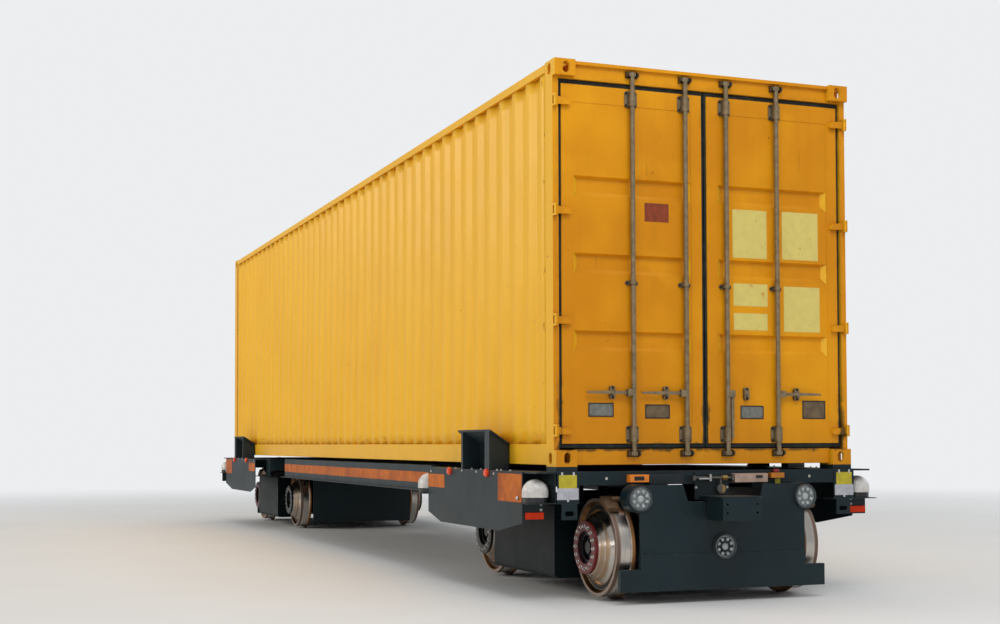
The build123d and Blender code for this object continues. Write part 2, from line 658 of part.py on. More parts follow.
with BuildPart() as warning_lights:
    depth, y, width, height = WARNING
    with Locations((END_X, y, WARNING_Z)):
        Box(depth, width, height, align=(Align.MIN, Align.CENTER, Align.MIN))
    add(warning_lights.part.rotate(Axis.Z, 180))
save(warning_lights, "warning_lights")

with BuildPart() as stop_buttons:
    with Locations((END_X, STOP_Y, STOP_Z)):
        Box(*STOP_BASE, align=(Align.MIN, Align.CENTER, Align.MIN))
    with Locations((END_X + STOP_HEAD[0] + REST_GAP, STOP_Y, STOP_Z + STOP_BASE[2])):
        Cylinder(*STOP_STEM, align=(Align.CENTER, Align.CENTER, Align.MIN))
        with Locations((0, 0, STOP_STEM[1])):
            Cylinder(*STOP_HEAD, align=(Align.CENTER, Align.CENTER, Align.MIN))
    add(stop_buttons.part.rotate(Axis.Z, 180))
save(stop_buttons, "stop_buttons")

with BuildPart() as air_couplings:
    pipe_x = END_X + PIPE_OUT
    pipe_y, pipe_l = span(*PIPE_Y)
    clamp_w, clamp_h = PIPE_CLAMP
    with Locations((pipe_x, pipe_y, PIPE_Z)):
        Cylinder(PIPE_R, pipe_l, rotation=(90, 0, 0))
    with Locations((END_X, PIPE_Y[0] + clamp_w / 2, PIPE_Z), (END_X, PIPE_Y[1] - clamp_w / 2, PIPE_Z)):
        Box(PIPE_OUT + clamp_h / 2, clamp_w, clamp_h, align=(Align.MIN, Align.CENTER, Align.CENTER))
    with Locations((pipe_x, VALVE[2], PIPE_Z)):
        Cylinder(VALVE[0], VALVE[1], rotation=(90, 0, 0))
    with BuildSketch(Plane.XZ.offset(-UNION[2])):
        with Locations((pipe_x, PIPE_Z)):
            RegularPolygon(UNION[0], 6)
    extrude(amount=UNION[1])
    with Locations((pipe_x, JAW[2], JAW_Z)):
        Cylinder(JAW_STEM_R, PIPE_Z - JAW_Z, align=(Align.CENTER, Align.CENTER, Align.MIN))
        Cylinder(JAW[0], JAW[1], rotation=(0, 90, 0))
    add(air_couplings.part.rotate(Axis.Z, 180))
save(air_couplings, "air_couplings")


# Container
def trapezoid_wave(start, end, pitch, depth, edge):
    """Corner points of a trapezoid corrugation between flat edges, as (along, height)."""
    flat = WAVE_FLAT * pitch
    slope = WAVE_SLOPE * pitch
    count = int((end - start - 2 * edge) // pitch)
    first = (start + end - count * pitch + flat) / 2
    points = [(start, depth)]
    for i in range(count):
        at = first + i * pitch
        points += [(at, depth), (at + slope, 0), (at + slope + flat, 0),
                   (at + 2 * slope + flat, depth)]
    return points + [(end, depth)]


def sheet_outline(points, thickness):
    """Close a corrugation into the outline of a sheet of that thickness."""
    under = [(along, height - thickness) for along, height in reversed(points)]
    return points + under


box_top = SEAT_Z + BOX_H
door_post_face = HALF_L - DOOR_POST_INSET
front_face = -HALF_L + FRONT_INSET
inner_end = HALF_L - casting_x
rail_y = HALF_W - PROUD_SIDE

wall = CASTING_WALL
back = CASTING_WALL + CASTING_BACK
with BuildPart() as bottom_castings:
    with Locations((HALF_L, HALF_W, SEAT_Z)):
        Box(casting_x, casting_y, casting_z, align=(Align.MAX, Align.MAX, Align.MIN))
    with Locations((HALF_L - wall, HALF_W - wall, SEAT_Z + wall)):
        Box(casting_x - back, casting_y - back, casting_z - back,
            align=(Align.MAX, Align.MAX, Align.MIN), mode=Mode.SUBTRACT)
    with BuildSketch(Plane.XY.offset(SEAT_Z)):
        with Locations((slot_x, slot_y)):
            SlotOverall(APERTURE_L, APERTURE_W)
    extrude(amount=wall, mode=Mode.SUBTRACT)
    with BuildSketch(Plane.YZ.offset(HALF_L)):
        with Locations((slot_y, SEAT_Z + casting_z / 2)):
            SlotOverall(*SIDE_SLOT, rotation=90)
    extrude(amount=-wall, mode=Mode.SUBTRACT)
    with BuildSketch(Plane.XZ.offset(-HALF_W)):
        with Locations((slot_x, SEAT_Z + casting_z / 2)):
            SlotOverall(*SIDE_SLOT, rotation=90)
    extrude(amount=wall, mode=Mode.SUBTRACT)
    mirror(about=Plane.XZ)
    mirror(about=Plane.YZ)
save(bottom_castings, "bottom_castings")

with BuildPart() as top_castings:
    add(bottom_castings.part.mirror(Plane.XY.offset(SEAT_Z + BOX_H / 2)))
save(top_castings, "top_castings")

hinge_low, hinge_high = HINGE_ENDS_Z
hinge_pitch = (hinge_high - hinge_low) / (HINGE_COUNT - 1)
hinge_heights = [SEAT_Z + hinge_low + i * hinge_pitch for i in range(HINGE_COUNT)]
pin_x = HALF_L - HINGE_INSET
with BuildPart() as posts:
    post_z = SEAT_Z + casting_z
    post_h = BOX_H - 2 * casting_z
    for x0, x1 in ((inner_end, door_post_face), (front_face, -inner_end)):
        post_x, post_l = span(x0, x1)
        with Locations((post_x, HALF_W - POST_Y / 2, post_z), (post_x, -HALF_W + POST_Y / 2, post_z)):
            Box(post_l, POST_Y, post_h, align=(Align.CENTER, Align.CENTER, Align.MIN))
    for z in hinge_heights:
        for side in (-1, 1):
            for up in (-1, 1):
                ear_z = z + up * (KNUCKLE_H / 2 + EAR_GAP + EAR_T / 2)
                with Locations((door_post_face, side * HINGE_Y, ear_z)):
                    Box(pin_x - door_post_face, 2 * KNUCKLE_R, EAR_T,
                        align=(Align.MIN, Align.CENTER, Align.CENTER))
                with Locations((pin_x, side * HINGE_Y, ear_z)):
                    Cylinder(KNUCKLE_R, EAR_T)
            with Locations((pin_x, side * HINGE_Y, z)):
                Cylinder(PIN_R, KNUCKLE_H + 2 * EAR_T)
save(posts, "corner_posts")

with BuildPart() as side_rails:
    low = SEAT_Z + PROUD_BOTTOM
    high = SEAT_Z + SIDE_RAIL_H
    web_y = rail_y - RAIL_T
    with BuildSketch(Plane.YZ.offset(-inner_end)):
        with BuildLine():
            Polyline((rail_y, low), (rail_y, high), (rail_y - SIDE_RAIL_TOP_W, high),
                     (rail_y - SIDE_RAIL_TOP_W, high - RAIL_T), (web_y, high - RAIL_T),
                     (web_y, low + RAIL_T), (rail_y - SIDE_RAIL_LIP, low + RAIL_T),
                     (rail_y - SIDE_RAIL_LIP, low), close=True)
        make_face()
        with Locations((rail_y - TOP_RAIL / 2, box_top - PROUD_TOP - TOP_RAIL / 2)):
            Rectangle(TOP_RAIL, TOP_RAIL)
    extrude(amount=2 * inner_end)
    mirror(about=Plane.XZ)
save(side_rails, "side_rails")

with BuildPart() as end_rails:
    between = 2 * (HALF_W - casting_y)
    for x0, x1, header, sill in (
        (inner_end, door_post_face, HEADER_H, SILL_H),
        (front_face, -inner_end, casting_z, casting_z),
    ):
        rail_x, rail_l = span(x0, x1)
        with Locations((rail_x, 0, box_top - header)):
            Box(rail_l, between, header - PROUD_TOP, align=(Align.CENTER, Align.CENTER, Align.MIN))
        with Locations((rail_x, 0, SEAT_Z + PROUD_BOTTOM)):
            Box(rail_l, between, sill - PROUD_BOTTOM, align=(Align.CENTER, Align.CENTER, Align.MIN))
    for side in (-1, 1):
        with Locations((door_post_face, side * between / 2, box_top - casting_z)):
            Box(door_post_face - inner_end, casting_y - POST_Y, HEADER_H - casting_z,
                align=(Align.MAX, Align.MIN if side > 0 else Align.MAX, Align.MAX))
    with Locations((door_post_face, 0, box_top - PROUD_TOP)):
        Box(HEADER_LIP[0], between, HEADER_LIP[1], align=(Align.MIN, Align.CENTER, Align.MAX))
save(end_rails, "end_rails")

sheet_y = rail_y - SHEET_INSET
wave = trapezoid_wave(-inner_end, inner_end, PITCH, CORRUGATION, WAVE_EDGE)
outline = sheet_outline([(x, sheet_y - CORRUGATION + h) for x, h in wave], SHEET_T)
for side, name in ((-1, "near"), (1, "far")):
    with BuildPart() as side_wall:
        with BuildSketch(Plane.XY.offset(SEAT_Z + SIDE_RAIL_H)):
            Polygon(*[(x, side * y) for x, y in outline], align=None)
        extrude(amount=BOX_H - SIDE_RAIL_H - TOP_RAIL - PROUD_TOP)
    save(side_wall, f"side_wall_{name}")

with BuildPart() as front_wall:
    post_inner = HALF_W - POST_Y
    wave = trapezoid_wave(-post_inner, post_inner, PITCH, CORRUGATION, WAVE_EDGE)
    outline = sheet_outline([(y, CORRUGATION - h) for y, h in wave], -SHEET_T)
    with BuildSketch(Plane.XY.offset(SEAT_Z + casting_z)):
        Polygon(*[(front_face + SHEET_INSET + d, y) for y, d in outline], align=None)
    extrude(amount=BOX_H - 2 * casting_z)
save(front_wall, "front_wall")

with BuildPart() as roof:
    wave = trapezoid_wave(-inner_end, inner_end, ROOF_PITCH, ROOF_DEPTH, ROOF_EDGE)
    roof_low = box_top - PROUD_TOP - PROUD_SIDE - ROOF_DEPTH
    outline = sheet_outline([(x, roof_low + h) for x, h in wave], SHEET_T)
    roof_half = rail_y - TOP_RAIL
    with BuildSketch(Plane.XZ.offset(-roof_half)):
        Polygon(*outline, align=None)
    extrude(amount=2 * roof_half)
save(roof, "roof")

with BuildPart() as floor:
    floor_top = SEAT_Z + SIDE_RAIL_H
    beam_count = int((2 * inner_end - FLOOR_BEAM[0]) // FLOOR_PITCH) + 1
    with Locations((0, 0, floor_top)):
        Box(2 * inner_end, 2 * (rail_y - SIDE_RAIL_TOP_W), FLOOR_T,
            align=(Align.CENTER, Align.CENTER, Align.MAX))
    with Locations((0, 0, floor_top - FLOOR_T)):
        with GridLocations(FLOOR_PITCH, 1, beam_count, 1):
            Box(FLOOR_BEAM[0], 2 * (rail_y - RAIL_T), FLOOR_BEAM[1],
                align=(Align.CENTER, Align.CENTER, Align.MAX))
save(floor, "floor")

# Doors: left is at -Y and right at +Y. Each swings with its seal and its two lock rods.
door_face = HALF_L - DOOR_FACE_INSET
rod_x = HALF_L - ROD_INSET
door_z0, door_z1 = SEAT_Z + DOOR_BOTTOM, SEAT_Z + DOOR_TOP
door_z, door_h = span(door_z0, door_z1)
panel_in = DOOR_GAP / 2 + SEAL_W
panel_y, panel_w = span(panel_in, DOOR_EDGE_Y)
sink_y, sink_w = span(*SINK_Y)
sink_z, sink_h = span(*SINK_Z)
band_y, band_w = span(*BAND_Y)
band_heights = [BOX_H / 2 + i * BAND_PITCH for i in (-1, 0, 1)]
upper_slope, lower_slope, end_slope = BAND_SLOPES
handles = {
    "left": ((ROD_Y[0], "out"), (ROD_Y[1], "out")),
    "right": ((ROD_Y[0], "down"), (ROD_Y[1], "out")),
}
guides = ((GUIDE_Z[0], GUIDE[1]), (SADDLE_Z, SADDLE_H), (GUIDE_Z[1], GUIDE[1]))
for side, name in ((-1, "left"), (1, "right")):
    face_plane = Plane.YZ.offset(door_face)

    with BuildPart() as panel:
        with BuildSketch(face_plane):
            with Locations((side * panel_y, door_z)):
                Rectangle(panel_w, door_h)
        extrude(amount=-DOOR_T)
        with BuildSketch(face_plane):
            with Locations((side * sink_y, SEAT_Z + sink_z)):
                Rectangle(sink_w, sink_h)
        extrude(amount=-SHEET_SINK, mode=Mode.SUBTRACT)
        for z in band_heights:
            with BuildSketch(face_plane.offset(-SHEET_SINK)):
                with Locations((side * band_y, SEAT_Z + z)):
                    Rectangle(band_w, BAND_H)
            with BuildSketch(face_plane.offset(-BAND_DEPTH)):
                with Locations((side * band_y, SEAT_Z + z + (lower_slope - upper_slope) / 2)):
                    Rectangle(band_w - 2 * end_slope, BAND_H - upper_slope - lower_slope)
            loft(mode=Mode.SUBTRACT)
        for z in hinge_heights:
            blade = [(HINGE_Y, -KNUCKLE_H / 2), (HINGE_Y, KNUCKLE_H / 2),
                     (BLADE_TIP_Y, KNUCKLE_H / 4), (BLADE_TIP_Y, -KNUCKLE_H / 2)]
            with BuildSketch(Plane.YZ.offset(door_post_face + BLADE_BACK)):
                Polygon(*[(side * y, z + up) for y, up in blade], align=None)
            extrude(amount=BLADE_T)
            foot_y, foot_w = span(BLADE_TIP_Y, DOOR_EDGE_Y)
            with BuildSketch(face_plane):
                with Locations((side * foot_y, z - KNUCKLE_H / 8)):
                    Rectangle(foot_w, KNUCKLE_H / 2)
            extrude(amount=door_post_face + BLADE_BACK - door_face)
            with Locations((pin_x, side * HINGE_Y, z)):
                Cylinder(KNUCKLE_R, KNUCKLE_H)
                Cylinder(PIN_R + BORE_GAP, KNUCKLE_H, mode=Mode.SUBTRACT)
    save(panel, f"door_{name}")

    with BuildPart() as seal:
        with BuildSketch(face_plane.offset(-SEAL_INSET)):
            with Locations((side * panel_y, door_z)):
                Rectangle(panel_w + 2 * SEAL_W, door_h + 2 * SEAL_H)
                Rectangle(panel_w, door_h, mode=Mode.SUBTRACT)
        extrude(amount=-SEAL_T)
    save(seal, f"door_seal_{name}")

    with BuildPart() as rods:
        for rod_y, pose in handles[name]:
            cam_l, cam_w, cam_h = CAM
            collar_r, collar_h = COLLAR
            low, high = SEAT_Z + CAM_Z[0], SEAT_Z + CAM_Z[1]
            rod_spot = (rod_x, side * rod_y)
            with Locations((*rod_spot, (low + high) / 2)):
                Cylinder(ROD_R, high - low + 2 * ROD_END)
            for z, inward in ((low, 1), (high, -1)):
                with BuildSketch(Plane.XY.offset(z - cam_h / 2)):
                    with Locations(rod_spot):
                        SlotOverall(cam_l, cam_w, rotation=90)
                extrude(amount=cam_h)
                with Locations((*rod_spot, z + inward * (cam_h + collar_h) / 2)):
                    Cylinder(collar_r, collar_h)
            fork_t, fork_w, fork_h = FORK
            fork_y = side * (rod_y + FORK_OFFSET)
            handle_z = SEAT_Z + HANDLE_Z
            turn = -90 if pose == "down" else 90 - 90 * side
            with Locations((rod_x, side * (rod_y + fork_w / 2), handle_z)):
                Box(fork_t, fork_w, fork_h)
            with Locations((rod_x, side * (rod_y + ROD_R + fork_w / 2), handle_z)):
                Box(FORK_SLOT, fork_w, fork_h, mode=Mode.SUBTRACT)
            with Locations((rod_x, fork_y, handle_z)):
                Cylinder(PIN_R, fork_t, rotation=(0, 90, 0))
            root, tip = HANDLE_H[0] / 2, HANDLE_H[1] / 2
            lever = [(-root, -root), (CATCH_OUT, -root), (HANDLE_L, -tip),
                     (HANDLE_L, tip), (CATCH_OUT, root), (-root, root)]
            with BuildSketch(Plane.YZ.offset(rod_x - HANDLE_T / 2)):
                with Locations(Location((fork_y, handle_z, 0), (0, 0, turn))):
                    Polygon(*lever, align=None)
            extrude(amount=HANDLE_T)
    save(rods, f"lock_rods_{name}")

    with BuildPart() as fittings:
        for rod_y, pose in handles[name]:
            plate_w, plate_t = GUIDE[0], GUIDE[2]
            for z, height in guides:
                at = (side * rod_y, SEAT_Z + z)
                under = SHEET_SINK if SINK_Z[0] < z < SINK_Z[1] else 0
                with BuildSketch(face_plane.offset(-under)) as plate:
                    with Locations(at):
                        Rectangle(plate_w, height)
                    chamfer(plate.vertices(), plate_w / 8)
                extrude(amount=plate_t + under)
                with Locations((door_face, *at)):
                    Box(rod_x - door_face, 2 * HOUSING_R, height - 2 * plate_t,
                        align=(Align.MIN, Align.CENTER, Align.CENTER))
                with Locations((rod_x, *at)):
                    Cylinder(HOUSING_R, height - 2 * plate_t)
                    Cylinder(ROD_R + BORE_GAP, height, mode=Mode.SUBTRACT)
            catch_w, catch_h = CATCH
            lever_back = rod_x - HANDLE_T / 2 - REST_GAP
            catch_y = side * (rod_y + CATCH_OUT)
            handle_z = SEAT_Z + HANDLE_Z
            with BuildSketch(face_plane.offset(-SHEET_SINK)):
                with Locations((catch_y, handle_z)):
                    SlotOverall(catch_h, catch_w, rotation=90)
                with Locations((catch_y, handle_z + catch_h / 4 + CATCH_HOLE_R)):
                    Circle(CATCH_HOLE_R, mode=Mode.SUBTRACT)
            extrude(amount=lever_back - door_face + SHEET_SINK)
            with Locations((lever_back, catch_y, handle_z - HANDLE_H[0] / 2 - REST_GAP)):
                Box(HANDLE_T * 2, catch_w / 2, HANDLE_T, align=(Align.MIN, Align.CENTER, Align.MAX))
    save(fittings, f"lock_fittings_{name}")

with BuildPart() as keepers:
    base_w, base_h, base_t = KEEPER
    lug_l, lug_w, lug_tip = KEEPER_LUG
    for side in (-1, 1):
        for rod_y in ROD_Y:
            for z in CAM_Z:
                at = (side * rod_y, SEAT_Z + z)
                with Locations((door_post_face, *at)):
                    Box(base_t, base_w, base_h, align=(Align.MIN, Align.CENTER, Align.CENTER))
                for way in (-1, 1):
                    outer_y = side * rod_y + way * (base_w / 2 - lug_w / 2) + lug_w / 2
                    with BuildSketch(Plane.XZ.offset(-outer_y)):
                        with Locations((door_post_face, SEAT_Z + z)):
                            Polygon((0, -base_h / 2), (lug_l, -lug_tip / 2), (lug_l, lug_tip / 2),
                                    (0, base_h / 2), align=None)
                    extrude(amount=lug_w)
save(keepers, "cam_keepers")
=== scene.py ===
"""Looks of a rail flatcar with a yellow container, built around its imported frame.

Metres, in the part's own frame: X along the car with the container's doors at +X, Y across,
Z up from the wheel flanges' lowest point.
"""
import json
import math

import bmesh
import bpy
from bpy.props import FloatProperty, FloatVectorProperty, IntProperty, PointerProperty
from mathutils import Matrix, Vector, noise
from mathutils.bvhtree import BVHTree


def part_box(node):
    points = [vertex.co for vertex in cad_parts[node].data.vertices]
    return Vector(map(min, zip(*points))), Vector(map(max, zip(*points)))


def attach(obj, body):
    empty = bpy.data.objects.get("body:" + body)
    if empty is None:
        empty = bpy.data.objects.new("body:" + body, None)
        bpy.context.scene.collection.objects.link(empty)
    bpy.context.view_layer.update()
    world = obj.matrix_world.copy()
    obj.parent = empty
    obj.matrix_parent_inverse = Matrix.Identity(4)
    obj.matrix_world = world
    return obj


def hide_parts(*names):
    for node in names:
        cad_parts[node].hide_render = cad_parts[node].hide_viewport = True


bl_info = {
    "name": "Flatcar and container finish",
    "version": (1, 0, 0),
    "blender": (4, 5, 0),
    "location": "View3D > Sidebar > Flatcar",
    "description": "Builds the finish, trim and studio around a flatcar with its container",
    "category": "Object",
}

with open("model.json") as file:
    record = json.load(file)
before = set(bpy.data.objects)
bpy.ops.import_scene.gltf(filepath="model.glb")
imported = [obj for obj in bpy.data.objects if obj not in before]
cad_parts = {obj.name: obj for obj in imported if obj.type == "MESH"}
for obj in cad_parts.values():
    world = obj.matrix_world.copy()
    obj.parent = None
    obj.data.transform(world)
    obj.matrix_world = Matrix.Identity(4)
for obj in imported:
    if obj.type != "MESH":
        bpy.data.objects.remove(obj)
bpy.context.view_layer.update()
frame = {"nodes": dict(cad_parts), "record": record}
NODES = frame["nodes"]

# Driving places, read from the frame
SEAT_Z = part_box("bottom_castings")[0].z
WHEEL_LO, WHEEL_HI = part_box("wheels_front_outer")
INNER_LO, INNER_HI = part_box("wheels_front_inner")
AXLE_Z = (WHEEL_LO.z + WHEEL_HI.z) / 2
OUTER_AXLE_X = (WHEEL_LO.x + WHEEL_HI.x) / 2
INNER_AXLE_X = (INNER_LO.x + INNER_HI.x) / 2
BOGIE_X = (OUTER_AXLE_X + INNER_AXLE_X) / 2
HALF_BASE = (OUTER_AXLE_X - INNER_AXLE_X) / 2
HUB_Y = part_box("axle_front_outer")[1].y
SEAL_LO, SEAL_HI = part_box("door_seal_right")

# Sizes inside the CAD pieces, which their boxes don't give
TREAD_R = 0.3556
TREAD_LOW = 0.329  # everything further out than this and beside the flange is tread
FLANGE_Y = 0.712  # where a wheel's flange ends
FACE_Y = 0.79  # where a wheel's outer face starts
GROOVE = (0.2736, 0.3056)  # radii of the groove in that face
HUB_RING_R = 0.120  # where the red ring of an outer wheel's hub starts
ROD_Y = (0.170, 0.600)  # lock rods, from the line where the doors meet
DOOR_X = 5.97  # behind the doors' faces
STAND_TOP_Z = 1.126  # a guide stand is red from here up
BUTTON_Z = 0.912  # where a stop button starts over its yellow foot
DOME_BASE_Z = 0.7515  # top of a dome's dark base

# Where rays start that look for a piece to stand on
OUT, BESIDE, ABOVE = 6.5, 1.6, 1.2

SHEET = 0.002  # thickness of the pressed sheets
SHEET_RIM = 0.06  # flat strip at each end of a sheet's waves

# Both ends and both doors, with the way that each faces or lies
ENDS = (("front", 1), ("rear", -1))
WAYS = (1, -1)
DOORS = (("left", -1), ("right", 1))
TREES = {}
FINISHES = {}


def linear(red, green, blue):
    """A screen colour, 0 to 255, as Blender's linear one."""
    return tuple(((c / 255 + 0.055) / 1.055) ** 2.4 if c > 10 else c / 255 / 12.92
                 for c in (red, green, blue))


class StudioSettings(bpy.types.PropertyGroup):
    """Camera and light."""

    camera_place: FloatVectorProperty(
        name="Camera place", description="Where the camera stands", subtype="TRANSLATION",
        unit="LENGTH", default=(15.3739, -5.1859, 1.1313))
    azimuth: FloatProperty(
        name="Azimuth", description="Turn of the camera round the car", subtype="ANGLE",
        default=math.radians(69.077))
    elevation: FloatProperty(
        name="Elevation", description="Angle of the camera over the horizon", subtype="ANGLE",
        default=math.radians(-2.0004))
    roll: FloatProperty(
        name="Roll", description="Lean of the camera", subtype="ANGLE",
        default=math.radians(-0.150))
    focal: FloatProperty(
        name="Focal length", description="Focal length over the picture's width", default=1.43824)
    shift: FloatProperty(
        name="Shift", description="Rise of the lens over the picture's width", default=0.08112)
    floor_colour: FloatVectorProperty(
        name="Floor", description="Colour of the studio floor", subtype="COLOR",
        min=0, max=1, default=linear(226, 226, 224))
    backdrop_colour: FloatVectorProperty(
        name="Backdrop", description="Colour behind the car", subtype="COLOR",
        min=0, max=1, default=linear(236, 238, 240))
    floor_fade: FloatVectorProperty(
        name="Floor fade", size=2, unit="LENGTH", default=(7.0, 24.0),
        description="Where the floor starts to turn into the backdrop, and where it has")


class FinishSettings(bpy.types.PropertyGroup):
    """Paint colours and wear."""

    container: FloatVectorProperty(
        name="Container paint", description="Yellow of the container", subtype="COLOR",
        min=0, max=1, default=linear(238, 162, 12))
    # Painted sunlight: the paler yellow given to the container's sideways faces.
    sunlit_yellow: FloatVectorProperty(
        name="Painted sunlit yellow", description="Yellow of the container's sides", subtype="COLOR",
        min=0, max=1, default=linear(244, 188, 34))
    car: FloatVectorProperty(
        name="Car paint", description="Dark slate of the flatcar", subtype="COLOR",
        min=0, max=1, default=linear(18, 38, 44))
    stripe: FloatVectorProperty(
        name="Stripe", description="Orange of the reflective patches", subtype="COLOR",
        min=0, max=1, default=linear(204, 106, 8))
    hub: FloatVectorProperty(
        name="Hub ring", description="Red of the outer wheels' hub rings", subtype="COLOR",
        min=0, max=1, default=linear(106, 14, 20))
    wear: FloatProperty(
        name="Wear", description="How far the paint has worn", default=0.5, min=0, max=1,
        subtype="FACTOR")


class SheetSettings(bpy.types.PropertyGroup):
    """Sizes of the container's pressed sheets."""

    pitch: FloatProperty(
        name="Wall pitch", description="From one wall corrugation to the next", unit="LENGTH",
        default=0.278)
    roof_pitch: FloatProperty(
        name="Roof pitch", description="From one roof corrugation to the next", unit="LENGTH",
        default=0.209)
    bend: FloatProperty(
        name="Bend", description="Length of each rounded bend's flank", unit="LENGTH",
        default=0.012)
    dents: FloatProperty(
        name="Dents", description="Depth of the sheets' shallow dents", unit="LENGTH",
        default=0.004)


class TrimSettings(bpy.types.PropertyGroup):
    """Sizes and counts of the small trim."""

    bolt: FloatProperty(
        name="Bolt", description="Radius of the small bolt heads", unit="LENGTH", default=0.0068)
    hub_circle: FloatProperty(
        name="Hub circle", description="Radius of the hub bolts' circle", unit="LENGTH",
        default=0.154)
    hub_bolts: IntProperty(name="Hub bolts", description="Bolts in each hub ring", default=16)
    lamp_lenses: IntProperty(
        name="Lamp lenses", description="Small lenses in each headlamp", default=8)


class Shader:
    """The nodes of one material or world, added one by one."""

    def __init__(self, name, kind="materials"):
        self.owner = getattr(bpy.data, kind).new(name)
        self.owner.use_nodes = True
        self.tree = self.owner.node_tree
        self.tree.nodes.clear()
        self.place = self.add("ShaderNodeTexCoord").outputs["Object"]

    def add(self, kind, inputs=None, **settings):
        node = self.tree.nodes.new(kind)
        for key, value in settings.items():
            setattr(node, key, value)
        for key, value in (inputs or {}).items():
            if isinstance(value, bpy.types.NodeSocket):
                self.tree.links.new(value, node.inputs[key])
            else:
                node.inputs[key].default_value = value
        return node

    def stretched(self, scale):
        """Object coordinates, scaled along each axis."""
        return self.add("ShaderNodeMapping", {"Vector": self.place, "Scale": scale}).outputs[0]

    def noise(self, scale, detail=4.0, rough=0.55, place=None):
        return self.add("ShaderNodeTexNoise", {
            "Vector": place or self.place, "Scale": scale, "Detail": detail, "Roughness": rough,
        }).outputs["Fac"]

    def math(self, operation, first, second=0.0, clamp=False):
        return self.add("ShaderNodeMath", {0: first, 1: second}, operation=operation,
                        use_clamp=clamp).outputs[0]

    def times(self, first, second, clamp=False):
        return self.math("MULTIPLY", first, second, clamp)

    def plus(self, first, second, clamp=False):
        return self.math("ADD", first, second, clamp)

    def minus(self, first, second):
        return self.math("SUBTRACT", first, second)

    def band(self, value, low, high):
        """0 below low, 1 above high and smooth between; low may be the higher one."""
        return self.add("ShaderNodeMapRange", {
            "Value": value, "From Min": low, "From Max": high}, interpolation_type="SMOOTHSTEP",
        ).outputs["Result"]

    def mix(self, share, first, second, blend="MIX"):
        node = self.add("ShaderNodeMix", {"Factor": share}, data_type="RGBA", blend_type=blend)
        for socket, value in ((node.inputs[6], first), (node.inputs[7], second)):
            if isinstance(value, bpy.types.NodeSocket):
                self.tree.links.new(value, socket)
            else:
                socket.default_value = (*value[:3], 1)
        return node.outputs[2]

    def axis(self, name):
        return self.add("ShaderNodeSeparateXYZ", {0: self.place}).outputs[name]

    def edges(self, radius=0.006):
        """Near 1 on sharp edges and 0 on flats."""
        soft = self.add("ShaderNodeBevel", {"Radius": radius}, samples=4).outputs[0]
        plain = self.add("ShaderNodeNewGeometry").outputs["Normal"]
        dot = self.add("ShaderNodeVectorMath", {0: soft, 1: plain}, operation="DOT_PRODUCT")
        return self.band(dot.outputs["Value"], 0.995, 0.90)

    def hollows(self, reach=0.12):
        """Near 1 deep in corners and hollows, from ambient occlusion: painted shade in most
        finishes, dust in the car paint.
        """
        shade = self.add("ShaderNodeAmbientOcclusion", {"Distance": reach}, samples=4)
        return self.band(shade.outputs["AO"], 0.85, 0.35)

    def upward(self):
        """1 on faces that look up."""
        normal = self.add("ShaderNodeNewGeometry").outputs["Normal"]
        height = self.add("ShaderNodeSeparateXYZ", {0: normal}).outputs["Z"]
        return self.band(height, 0.35, 0.95)

    def bump(self, height, distance, strength=1.0, under=None):
        inputs = {"Height": height, "Distance": distance, "Strength": strength}
        if under is not None:
            inputs["Normal"] = under
        return self.add("ShaderNodeBump", inputs).outputs[0]

    def finish(self, **inputs):
        """End in the main shader, whose sockets are named with underscores for spaces."""
        surface = self.add("ShaderNodeBsdfPrincipled")
        for key, value in inputs.items():
            socket = surface.inputs[key.replace("_", " ")]
            if isinstance(value, bpy.types.NodeSocket):
                self.tree.links.new(value, socket)
            elif isinstance(value, tuple):
                socket.default_value = (*value[:3], 1)
            else:
                socket.default_value = value
        output = self.add("ShaderNodeOutputMaterial")
        self.tree.links.new(surface.outputs[0], output.inputs["Surface"])
        return self.owner


